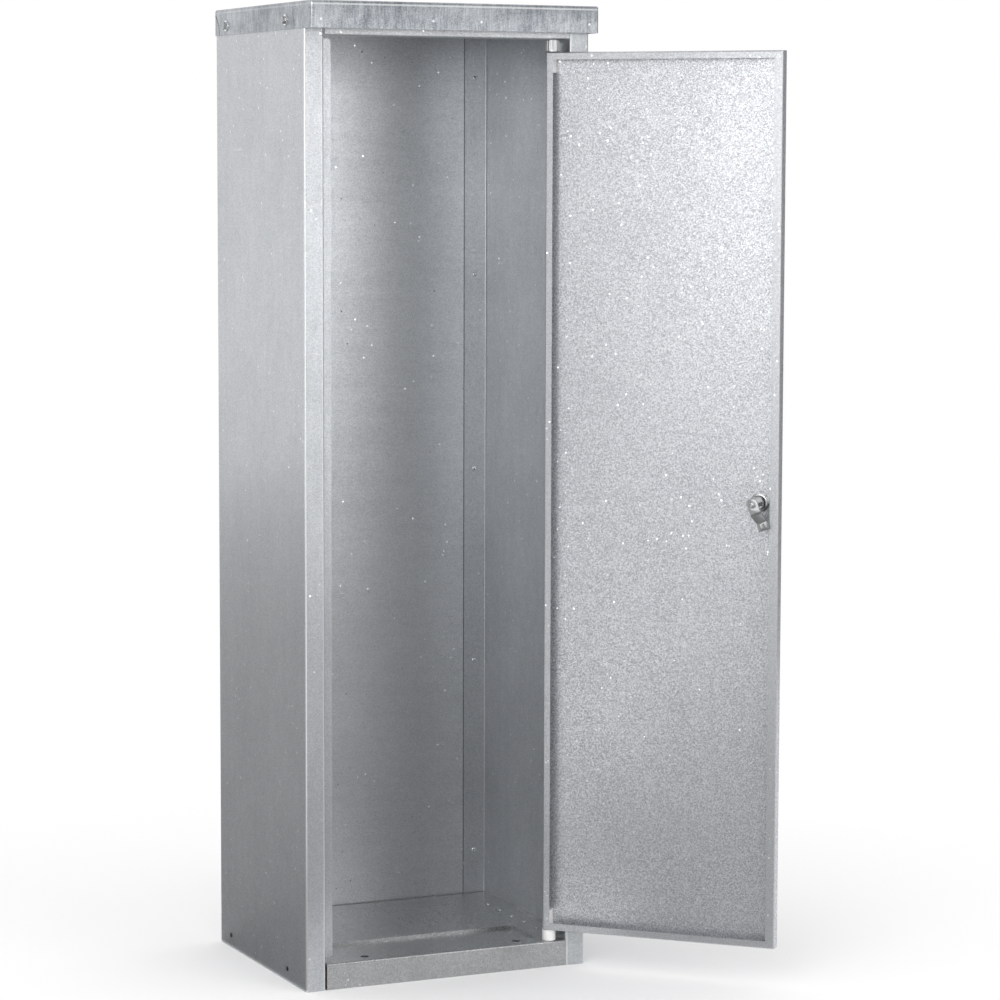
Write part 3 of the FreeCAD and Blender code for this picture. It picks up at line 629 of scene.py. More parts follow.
@dataclass(frozen=True)
class Trace:
    """A narrow mark on a sheet, alike on its left and right: a painted highlight along a fold, a painted
    shadow line along a joint or lap, or a weld.
    """

    colour: Colour
    centre: Triple
    across: Triple
    width: float
    radius: float = 0.0
    outside: float = 0.0
    share: float = 0.85

    def lay(self, bench: NodeBench, place: Socket, colour: Socket) -> Socket:
        """Draw the mark over a colour.

        Args:
            bench: The material's bench.
            place: The coordinates, with X counted outward from the middle.
            colour: The colour beneath.

        Returns:
            The marked colour.
        """
        offset = bench.vector("SUBTRACT", place, self.centre)
        away = bench.vector("LENGTH", bench.vector("MULTIPLY", offset, self.across))
        gap = bench.math("ABSOLUTE", bench.math("SUBTRACT", away, self.radius))
        mask = bench.ramp(gap, (self.width / 2, self.width), (self.share, 0))
        if self.outside:
            side = bench.add("SeparateXYZ", {"Vector": place}).outputs["X"]
            mask = bench.math("MULTIPLY", mask, bench.math("GREATER_THAN", side, self.outside))
        return bench.blend(mask, colour, self.colour)


@dataclass(frozen=True)
class Finish(ABC):
    """What every finish has: a name and the two colours that it wavers between."""

    name: str
    dark: Colour
    light: Colour

    @abstractmethod
    def material(self) -> Material:
        """Build the finish as a material."""


@dataclass(frozen=True)
class SheetFinish(Finish):
    """Galvanised sheet: spangled zinc with rolling streaks, matt clouds, scuffs and shallow waves."""

    rolling: Rolling
    grains: float = 800.0
    lit: float = 0.005
    grain_share: float = 0.5
    streak_share: float = 0.25
    contrast: float = 0.15
    roughness: float = 0.36
    gloss_swing: float = 0.07
    flake_gloss: float = 0.15
    # Painted glint colour of the sparkling crystals; the scuffs' real bright scratches take it too.
    glint_and_scratch_colour: Colour = (0.88, 0.89, 0.9)
    scuffing: float = 0.2
    grain_depth: float = 0.02 * MM
    wave: float = 0.6 * MM
    metal: float = 0.8
    inward: Triple | None = None
    rim_level: float = 0.0
    rim_depth: float = 2.5 * MM
    rim_colour: Colour = (0.47, 0.48, 0.495)
    rim_share: float = 0.6
    traces: tuple[Trace, ...] = ()

    def rim_mask(self, bench: Surface) -> Socket:
        """How far the folding tool has polished the sheet, which it did on the rim that stands highest."""
        level = bench.vector("DOT_PRODUCT", bench.place, self.inward)
        span = (self.rim_level - 2 * self.rim_depth, self.rim_level - self.rim_depth)
        return bench.ramp(level, span, (0, self.rim_share))

    def zinc(self, bench: Surface, tone: Socket) -> Socket:
        """Colour the zinc.

        Args:
            bench: The material's bench.
            tone: How light it is, about 0.5.

        Returns:
            Its colour, with the burnished rim and the other marks on it.
        """
        share = bench.ramp(tone, (0.5 - self.contrast, 0.5 + self.contrast))
        colour = bench.blend(share, self.dark, self.light)
        if self.inward:
            colour = bench.blend(self.rim_mask(bench), colour, self.rim_colour)
        mirrored = bench.mirrored(bench.place)
        for trace in self.traces:
            colour = trace.lay(bench, mirrored, colour)
        return colour

    def material(self) -> Material:
        """Build the finish as a material."""
        bench = Surface(self.name)
        place = bench.place
        spangle = SurfaceGroups.place(bench, "spangle", Vector=place, Grains=self.grains, Lit=self.lit)
        streaks = SurfaceGroups.place(bench, "streaks", Vector=bench.stretch(place, self.rolling.value))
        bloom = SurfaceGroups.place(bench, "bloom", Vector=place)
        scuffs = SurfaceGroups.place(bench, "scuffs", Vector=place, Amount=self.scuffing)
        waves = SurfaceGroups.place(bench, "waves", Vector=place, Depth=self.wave)
        tone = bench.weigh(
            (spangle["Tone"], self.grain_share), (streaks["Tone"], self.streak_share),
            (bloom["Tone"], 1 - self.grain_share - self.streak_share),
        )
        # The sparkling crystals are lightened towards the glint colour, a painted glint beside their real
        # tilt and gloss; the scuffs are real bright scratches.
        bright = bench.math("MAXIMUM", spangle["Sparkle"], scuffs["Mask"])
        swing = (self.roughness + self.gloss_swing, self.roughness - self.gloss_swing)
        polish = bench.math("MULTIPLY", spangle["Sparkle"], self.flake_gloss)
        grain = bench.math("MULTIPLY", spangle["Tone"], self.grain_depth)
        plain = bench.add("NewGeometry").outputs["Normal"]
        facet = bench.vector("NORMALIZE", bench.vector("ADD", plain, spangle["Tilt"]))
        return bench.coat({
            "Base Color": bench.blend(bright, self.zinc(bench, tone), self.glint_and_scratch_colour),
            "Roughness": bench.math("SUBTRACT", bench.ramp(tone, NOISE_SPAN, swing), polish),
            "Normal": bench.bump(bench.math("ADD", waves["Height"], grain), Normal=facet),
            "Metallic": self.metal,
        })


@dataclass(frozen=True)
class PlatedFinish(Finish):
    """Plated small metal: tool lines, stains and tiny pits."""

    roughness: float
    drawn: Triple = (1.0, 1.0, 1.0)
    lines: float = 1400.0
    line_depth: float = 0.008 * MM
    stains: float = 130.0
    gloss_swing: Span = (1.35, 0.75)

    def material(self) -> Material:
        """Build the finish as a material."""
        bench = Surface(self.name)
        along = bench.stretch(bench.place, self.drawn)
        lines = SurfaceGroups.place(bench, "streaks", Vector=along, Lines=self.lines)["Tone"]
        stains = SurfaceGroups.place(bench, "bloom", Vector=bench.place, Clouds=self.stains)["Tone"]
        tone = bench.math("MULTIPLY", bench.math("ADD", bench.ramp(stains, NOISE_SPAN), lines), 0.5)
        swing = tuple(self.roughness * share for share in self.gloss_swing)
        return bench.coat({
            "Base Color": bench.blend(tone, self.dark, self.light),
            "Roughness": bench.ramp(tone, (0, 1), swing),
            "Normal": bench.bump(bench.math("MULTIPLY", lines, self.line_depth)),
            "Metallic": 1.0,
        })


@dataclass(frozen=True)
class MouldedFinish(Finish):
    """Moulded nylon: waxy, slightly clouded, with a fine matt skin."""

    roughness: float
    clouds: float = 60.0
    gloss_swing: float = 0.06
    skin: float = 2500.0
    skin_depth: float = 0.01 * MM
    glow: float = 0.25
    glow_depth: float = 4.0 * MM

    def material(self) -> Material:
        """Build the finish as a material."""
        bench = Surface(self.name)
        clouds = SurfaceGroups.place(bench, "bloom", Vector=bench.place, Clouds=self.clouds)["Tone"]
        share = bench.ramp(clouds, NOISE_SPAN)
        swing = (self.roughness + self.gloss_swing, self.roughness - self.gloss_swing)
        skin = bench.math("MULTIPLY", bench.noise(bench.place, self.skin), self.skin_depth)
        return bench.coat({
            "Base Color": bench.blend(share, self.dark, self.light),
            "Roughness": bench.ramp(share, (0, 1), swing),
            "Normal": bench.bump(skin),
            "Subsurface Weight": self.glow,
            "Subsurface Radius": (self.glow_depth,) * 3,
        })


class Finishes:
    """Every finish of the cabinet, built once."""

    wall = SheetFinish("galvanised_wall", (0.40, 0.415, 0.435), (0.59, 0.605, 0.625), Rolling.UPRIGHT)
    back = SheetFinish("galvanised_back", (0.48, 0.495, 0.515), (0.70, 0.715, 0.735), Rolling.ACROSS)
    # The lid is the same galvanised sheet made darker than the walls: painted shade.
    lid = SheetFinish(
        "galvanised_lid", (0.20, 0.22, 0.245), (0.54, 0.56, 0.585), Rolling.UPRIGHT,
        lit=0.001, grain_share=0.2, streak_share=0.4, contrast=0.09,
    )
    rail = SheetFinish("galvanised_rail", (0.42, 0.43, 0.445), (0.62, 0.63, 0.645), Rolling.UPRIGHT)
    floor = SheetFinish(
        "galvanised_floor", (0.31, 0.315, 0.32), (0.48, 0.485, 0.49), Rolling.DEEP, roughness=0.28
    )
    door = SheetFinish(
        "galvanised_door", (0.35, 0.36, 0.385), (0.74, 0.75, 0.78), Rolling.UPRIGHT,
        grains=900.0, lit=0.014, grain_share=0.8, streak_share=0.05, contrast=0.12,
    )
    zinc = PlatedFinish("bright_zinc", (0.68, 0.69, 0.70), (0.88, 0.89, 0.90), 0.2)
    # The roof screws' zinc, darkened: painted shade for the dark facets that they mirror.
    shaded_zinc = PlatedFinish("shaded_screw_zinc", (0.32, 0.325, 0.33), (0.52, 0.525, 0.53), 0.18)
    dark = PlatedFinish("dark_zinc", (0.05, 0.05, 0.052), (0.13, 0.13, 0.135), 0.35)
    core = PlatedFinish("drawn_steel", (0.20, 0.20, 0.205), (0.36, 0.36, 0.365), 0.4)
    sleeve = PlatedFinish("drawn_aluminium", (0.50, 0.51, 0.52), (0.70, 0.71, 0.72), 0.32, (1.0, 1.0, 0.05))
    # Both lock chromes are darkened well below plated chrome's own brightness: painted shade; the lever's
    # satin chrome is also rougher.
    satin = PlatedFinish("satin_chrome", (0.28, 0.285, 0.29), (0.42, 0.425, 0.43), 0.3)
    chrome = PlatedFinish("polished_chrome", (0.42, 0.43, 0.44), (0.62, 0.625, 0.63), 0.2)
    nylon = MouldedFinish("white_nylon", (0.74, 0.74, 0.73), (0.84, 0.84, 0.83), 0.42)

    _made: dict[str, Material] = {}

    @classmethod
    def get(cls, finish: Finish) -> Material:
        """The material of a finish, made when it is first asked for."""
        if finish.name not in cls._made:
            cls._made[finish.name] = finish.material()
        return cls._made[finish.name]

    @classmethod
    def dress(cls, finish: Finish, *nodes: str) -> None:
        """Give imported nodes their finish."""
        for node in nodes:
            for slot in frame["nodes"][node].material_slots:
                slot.material = cls.get(finish)
            LOG.info("%s is dressed in %s", node, finish.name)


def facing(origin: Vector, outward: Vector, turn: float = 0.0) -> Matrix:
    """The place of a piece whose Z points outward, turned about it by some degrees."""
    aim = outward.to_track_quat("Z", "Y").to_matrix().to_4x4()
    return Matrix.Translation(origin) @ aim @ Matrix.Rotation(math.radians(turn), 4, "Z")


def sideways(point: Vector, sense: int = 1) -> Vector:
    """The way towards the side that a point lies on or, with a sense of -1, away from it."""
    return Vector((sense * math.copysign(1, point.x), 0, 0))


def foot(low: Vector, high: Vector) -> Vector:
    """The middle of a box's lower face."""
    return Vector(((low.x + high.x) / 2, (low.y + high.y) / 2, low.z))


def dome(outer: float, inner: float, low: float, high: float) -> Rings:
    """The rings above a dome's foot, on a quarter of an ellipse that ends at an inner radius."""
    angles = [step * math.pi / 2 for step in (0.25, 0.5, 0.75, 1.0)]
    return [
        (inner + (outer - inner) * math.cos(angle), low + (high - low) * math.sin(angle)) for angle in angles
    ]


def joint(name: str) -> dict[str, object]:
    """A packed joint, by its name."""
    return next(item for item in frame["joints"] if item["name"] == name)


@dataclass
class Housing:
    """The folded sheets of the cabinet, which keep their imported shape."""

    # Painted highlight colour along the folds; the lid's welds take this colour too.
    highlight_and_weld_colour: Colour = (0.86, 0.87, 0.88)
    # Painted shadow colour of the line behind the rear flanges and along the lid's laps.
    shade: Colour = (0.06, 0.06, 0.065)
    # Width, drop below the lid's top and strength of the painted fold highlights.
    fold_highlight_width: float = 3.0 * MM
    fold_highlight_drop: float = 5.0 * MM
    fold_highlight_share: float = 0.5
    fore_highlight_share: float = 0.6
    side_highlight_share: float = 0.2
    # Widths of the painted shadow lines at the back joint and along the laps.
    joint_shadow_width: float = 1.6 * MM
    lap_shadow_width: float = 2.6 * MM
    lap_radius: float = 31.3 * MM
    lap_overhang: float = 12.6 * MM
    lap_rise: float = 2.0 * MM
    lap_depth: float = 0.5 * MM
    weld_radius: float = 2.4 * MM
    weld_drop: float = 26.0 * MM
    weld_places: tuple[float, ...] = (37.0 * MM, 206.0 * MM)

    def wall_fold_highlights(self) -> tuple[Trace, ...]:
        """The painted highlights along a side wall's folds: both edges of its post and its rear corner."""
        low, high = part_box("right_side_wall")
        points = Gauge.points("right_side_wall")
        post_edge = points[points[:, 1] < low.y + MM][:, 0].min()
        corners = ((high.x, low.y, 0), (post_edge, low.y, 0), (high.x, high.y, 0))
        return tuple(
            Trace(self.highlight_and_weld_colour, corner, (1, 1, 0), self.fold_highlight_width, share=self.fold_highlight_share)
            for corner in corners
        )

    def back_joint_shadow(self) -> Trace:
        """The painted shadow line where the back panel goes behind the walls' rear flanges."""
        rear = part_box("right_side_wall")[1].y
        points = Gauge.points("right_side_wall")
        flange_edge = points[points[:, 1] > rear - TOUCH][:, 0].min()
        return Trace(self.shade, (flange_edge, rear, 0), (1, 2, 0), self.joint_shadow_width)

    def lid_marks(self) -> tuple[Trace, ...]:
        """The lid's painted highlights along its upper edges, the painted shadow line along its laps and the
        welds of its skirt.
        """
        low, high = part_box("roof_lid")
        fold, width = high.z - self.fold_highlight_drop, self.fold_highlight_width / 2
        # Painted highlights along the lid's upper folds.
        fore_highlight = Trace(self.highlight_and_weld_colour, (0, low.y, fold), (0, 1, 1), width, share=self.fore_highlight_share)
        side = Trace(self.highlight_and_weld_colour, (high.x, 0, fold), (1, 0, 1), width, share=self.side_highlight_share)
        # Painted shadow line along the lap's curved edge.
        lap_shadow = Trace(
            self.shade, (0, high.y + self.lap_overhang, low.z + self.lap_rise), (0, 1, 1), self.lap_shadow_width,
            self.lap_radius, high.x - 2 * self.lap_depth,
        )
        spots = [(place, low.y, high.z - self.weld_drop) for place in self.weld_places]
        welds = [Trace(self.highlight_and_weld_colour, spot, (1, 1, 1), self.weld_radius) for spot in spots]
        return fore_highlight, side, lap_shadow, *welds

    def dress(self) -> None:
        """Give each sheet the finish of the way it was rolled, with its painted fold highlights, painted
        joint and lap shadows and welds.
        """
        wall = replace(Finishes.wall, traces=self.wall_fold_highlights())
        Finishes.dress(wall, "left_side_wall", "right_side_wall")
        Finishes.dress(Finishes.rail, "header_rail", "left_floor_rail", "right_floor_rail")
        Finishes.dress(replace(Finishes.back, traces=(self.back_joint_shadow(),)), "back_panel")
        Finishes.dress(replace(Finishes.lid, traces=self.lid_marks()), "roof_lid")
        Finishes.dress(Finishes.floor, "floor_tray")


@dataclass
class BlindRivets:
    """Blind rivets: a domed flange round a sunk mandrel, a shank and a set tail."""

    head_radius: float = 3.5 * MM
    head_height: float = 1.4 * MM
    head_rim: float = 0.35 * MM
    shank_radius: float = 2.0 * MM
    tail_radius: float = 2.7 * MM
    tail_length: float = 2.2 * MM
    tail_profile: tuple[Span, ...] = ((0.55, 1.0), (0.92, 0.82), (1.0, 0.5), (0.9, 0.12))
    mouth_lip: float = 1.15
    mouth_drop: float = 0.12 * MM
    mandrel_radius: float = 1.25 * MM
    mandrel_sink: float = 0.75 * MM
    mandrel_tip: float = 0.55
    mandrel_rise: float = 0.22 * MM
    inside: float = 1.05
    sides: int = 32

    def build(self, name: str, grip: float, finish: PlatedFinish) -> Workpiece:
        """Turn one rivet, its flange's seat at the origin.

        Args:
            name: The piece's name.
            grip: The thickness of the sheets that it holds.
            finish: The finish of its flange and its tail.

        Returns:
            The rivet.
        """
        head, mouth = self.head_radius, self.mandrel_radius
        floor = self.head_height - self.mandrel_sink
        rings = [
            *((self.tail_radius * wide, -grip - self.tail_length * deep) for wide, deep in self.tail_profile),
            (self.shank_radius, -grip), (self.shank_radius, 0), (head, 0), (head, self.head_rim),
            *dome(head, mouth * self.mouth_lip, self.head_rim, self.head_height),
            (mouth, self.head_height - self.mouth_drop), (mouth, floor),
            (mouth * self.mandrel_tip, floor + self.mandrel_rise),
        ]
        rivet = Workpiece.turned(name, rings, self.sides).smooth().dress(finish)
        inside = mouth * self.inside
        return rivet.dress(Finishes.core, lambda p: math.hypot(p.x, p.y) < inside and p.z > 0)

    def fit(
        self, node: str, outward: Callable[[Vector], Vector], finish: PlatedFinish = Finishes.zinc
    ) -> None:
        """Set a rivet in place of each solid of a node.

        Args:
            node: The node that holds the rivets.
            outward: The way a rivet's head looks, from its middle.
            finish: The rivets' finish.
        """
        places = []
        grip = 0.0
        for low, high in Gauge.solids(node):
            middle = (low + high) / 2
            way = outward(middle)
            length = abs((high - low).dot(way))
            grip = length - self.head_height - self.tail_length
            places.append(facing(middle + way * (length / 2 - self.head_height), way))
        rivet = self.build(f"blind_{node}", grip, finish)
        rivet.repeat(places).hand_over(Body.CABINET, Slot.FIXINGS, node)

    def build_all(self) -> None:
        """Set the rivets of the base, the back, the header and the floor."""
        self.fit("base_rivets", sideways, Finishes.dark)
        self.fit("back_rivets", lambda p: Vector((0, -1, 0)))
        self.fit("header_rivets", lambda p: sideways(p, -1))
        self.fit("floor_rivets", lambda p: UP)


@dataclass
class HexFixings:
    """Hexagon screws and nuts with turned chamfers, threads and washers."""

    chamfer: float = 0.55 * MM
    thread_depth: float = 0.3 * MM
    pitch: float = 1.0 * MM
    bore_gap: float = 0.05 * MM
    edge: float = 0.25 * MM
    corner_spare: float = 1.002
    slant: float = 30.0
    nut_face: float = 0.97
    head_face: float = 0.95
    seat_slant: float = 0.4
    dish_rim: float = 0.8
    dish_floor: float = 0.72
    dish_depth: float = 0.25 * MM
    neck: float = 0.5 * MM

    def hexagon(self, flats: float, share: float) -> Triple:
        """The radius of a hexagon's corners and of its turned face, and the chamfer's height between."""
        corner = flats / math.sqrt(3) * self.corner_spare
        face = flats / 2 * share
        return corner, face, (corner - face) * math.tan(math.radians(self.slant))

    def thread(self, crest: float, depth: float, low: float, turns: int) -> Rings:
        """The rings of a thread's turns from a level upward, a crest and a root for each."""
        levels = [low + turn * self.pitch for turn in range(turns)]
        pairs = [((crest, level), (crest - depth, level + self.pitch / 2)) for level in levels]
        return [ring for pair in pairs for ring in pair]

    def nut(
        self, name: str, flats: float, bore: float, low: float, high: float, sides: int = 48
    ) -> Workpiece:
        """Turn a bored disc and mill its six flats.

        Args:
            name: The piece's name.
            flats: Width across the flats.
            bore: Radius of the bore.
            low: The lower face's level.
            high: The upper face's level.
            sides: How many sides its round faces have.

        Returns:
            The nut, about Z.
        """
        corner, face, drop = self.hexagon(flats, self.nut_face)
        inner = bore + self.chamfer
        disc = Workpiece.turned(name, [
            (bore, low + self.chamfer), (inner, low), (face, low), (corner, low + drop),
            (corner, high - drop), (face, high), (inner, high), (bore, high - self.chamfer),
        ], sides, bored=True)
        return disc.combine(Workpiece.hexagon("flats", flats, low - MM, high + MM), Cut.COMMON)

    def screw(self, name: str, flats: float, radius: float, head: float, length: float) -> Workpiece:
        """Turn a screw with a hexagon head whose seat is at the origin.

        Args:
            name: The piece's name.
            flats: Width across the head's flats.
            radius: The shank's radius.
            head: The head's height.
            length: The shank's length below the seat.

        Returns:
            The screw, its head up.
        """
        corner, face, drop = self.hexagon(flats, self.head_face)
        top = Workpiece.turned(name, [
            (face, 0), (corner, drop * self.seat_slant), (corner, head - drop), (face, head),
            (face * self.dish_rim, head), (face * self.dish_floor, head - self.dish_depth),
        ])
        top.combine(Workpiece.hexagon("flats", flats, -MM, head + MM), Cut.COMMON)
        turns = int((length - self.chamfer) / self.pitch)
        shank = Workpiece.turned("shank", [
            (radius - 2 * self.thread_depth, -length),
            *self.thread(radius, self.thread_depth, -turns * self.pitch, turns), (radius, self.neck),
        ], sides=24)
        return top.combine(shank, Cut.BOTH)

    def washer(self, name: str, bore: float, radius: float, low: float, high: float) -> Workpiece:
        """Turn a flat ring with broken edges about Z."""
        edge = self.edge
        return Workpiece.turned(name, [
            (bore, low), (radius - edge, low), (radius, low + edge), (radius, high - edge),
            (radius - edge, high), (bore + edge, high), (bore, high - edge),
        ], bored=True)


@dataclass
class RoofFixings(HexFixings):
    """The lid's four screws, with a washer outside and a nut inside each wall."""

    turns: tuple[float, ...] = (11.0, -17.0, 24.0, 3.0)
    head: float = 4.4 * MM
    shank: float = 3.0 * MM
    screw_edge: float = 0.12 * MM

    def fit(self, piece: Workpiece, node: str, share: float = 0.0) -> None:
        """Set a fixing in place of each solid of a node, looking outward.

        Args:
            piece: The fixing.
            node: The node that holds the solids.
            share: Where its seat lies, from 0 at a solid's inner end to 1 at its outer one.
        """
        places = []
        for turn, (low, high) in zip(self.turns, Gauge.solids(node)):
            middle, half = (low + high) / 2, (high.x - low.x) / 2
            way = sideways(middle)
            places.append(facing(middle + way * half * (2 * share - 1), way, turn))
        piece.repeat(places).hand_over(Body.CABINET, Slot.FIXINGS, node)

    def build_all(self) -> None:
        """Build the screws, washers and nuts in place of their nodes."""
        screw, washer, nut = map(Gauge.size, ("roof_screws", "roof_washers", "roof_nuts"))
        flats, bore = min(nut.y, nut.z), self.shank + self.bore_gap
        length = screw.x - self.head
        screws = self.screw("hex_roof_screws", flats, self.shank, self.head, length)
        screws.soften(self.screw_edge).smooth().dress(Finishes.shaded_zinc)
        self.fit(screws, "roof_screws", length / screw.x)
        washers = self.washer("flat_roof_washers", bore, washer.z / 2, 0, washer.x)
        self.fit(washers.smooth().dress(Finishes.zinc), "roof_washers")
        nuts = self.nut("hex_roof_nuts", flats, bore, 0, nut.x)
        self.fit(nuts.smooth().dress(Finishes.zinc), "roof_nuts")


@dataclass
class Hinges(HexFixings):
    """The fixed half of both hinges: a fluted sleeve above, a nylon bush below, pins and nuts."""

    pin_bore: float = 3.05 * MM
    sleeve_edge: float = 0.8 * MM
    flutes: int = 18
    flute_radius: float = 1.1 * MM
    flute_sink: float = 0.55 * MM
    bush_edge: float = 1.0 * MM
    bush_round: float = 0.3
    waist: float = 0.15 * MM

    def spacer_sizes(self, node: str) -> tuple[Matrix, float, float]:
        """A spacer's place, radius and height."""
        low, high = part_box(node)
        return Matrix.Translation(foot(low, high)), (high.x - low.x) / 2, high.z - low.z

    def build_sleeve(self) -> None:
        """Turn the upper sleeve and mill its flutes."""
        place, radius, height = self.spacer_sizes("top_hinge_sleeve")
        bore, edge = self.pin_bore, self.sleeve_edge
        sleeve = Workpiece.turned("fluted_hinge_sleeve", [
            (bore, 0), (radius - edge, 0), (radius, edge), (radius, height - edge),
            (radius - edge, height), (bore, height),
        ], sides=72, bored=True)
        cutter = Workpiece.start(
            "flute", bpy.ops.mesh.primitive_cylinder_add, vertices=16, radius=self.flute_radius,
            depth=height - 4 * edge, location=(radius + self.flute_radius - self.flute_sink, 0, height / 2),
        )
        cutter.open("FACE")
        bpy.ops.mesh.select_all(action="SELECT")
        bpy.ops.mesh.spin(
            steps=self.flutes, dupli=True, angle=2 * math.pi, center=(0, 0, 0), axis=(0, 0, 1),
            use_auto_merge=False,
        )
        cutter.pick(lambda p: True)
        bpy.ops.mesh.remove_doubles(threshold=TOUCH)
        cutter.close()
        sleeve.combine(cutter, Cut.REST).smooth().dress(Finishes.sleeve).place(place)
        sleeve.hand_over(Body.CABINET, Slot.SLEEVE, "top_hinge_sleeve")

    def build_bush(self) -> None:
        """Mould the lower bush, slightly waisted and with soft edges."""
        place, radius, height = self.spacer_sizes("bottom_hinge_bush")
        bore, edge = self.pin_bore, self.bush_edge
        soft = edge * self.bush_round
        bush = Workpiece.turned("nylon_hinge_bush", [
            (bore, 0), (radius - edge, 0), (radius - soft, soft), (radius, edge),
            (radius - self.waist, height * 0.5), (radius, height - edge),
            (radius - soft, height - soft), (radius - edge, height), (bore, height),
        ], sides=64, bored=True)
        bush.smooth(degrees=50).dress(Finishes.nylon).place(place)
        bush.hand_over(Body.CABINET, Slot.NYLON, "bottom_hinge_bush")

    def build_nuts(self) -> None:
        """Turn the nuts that hold both pins."""
        size = Gauge.size("hinge_nuts")
        nut = self.nut("hex_hinge_nuts", min(size.x, size.y), self.pin_bore, 0, size.z)
        places = [Matrix.Translation(foot(*box)) for box in Gauge.solids("hinge_nuts")]
        nut.smooth().dress(Finishes.zinc).repeat(places).hand_over(Body.CABINET, Slot.FIXINGS, "hinge_nuts")

    def build_all(self) -> None:
        """Build both hinges and dress their pins."""
        self.build_sleeve()
        self.build_bush()
        self.build_nuts()
        Finishes.dress(Finishes.zinc, "top_hinge_pin", "bottom_hinge_pin")


@dataclass
class DoorLeaf:
    """The door's folded leaf and the blocks that it turns on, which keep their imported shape."""

    leaf: str = "door_leaf"
    blocks: tuple[str, ...] = ("lower_pivot_block", "upper_pivot_block")

    def dress(self) -> None:
        """Give the leaf and its blocks their finish."""
        inward = Vector(joint("lock_turn")["axis"]).normalized()
        top = Gauge.reach(self.leaf, Vector(), inward)[1]
        Finishes.dress(replace(Finishes.door, inward=tuple(inward), rim_level=top), self.leaf)
        Finishes.dress(Finishes.nylon, *self.blocks)


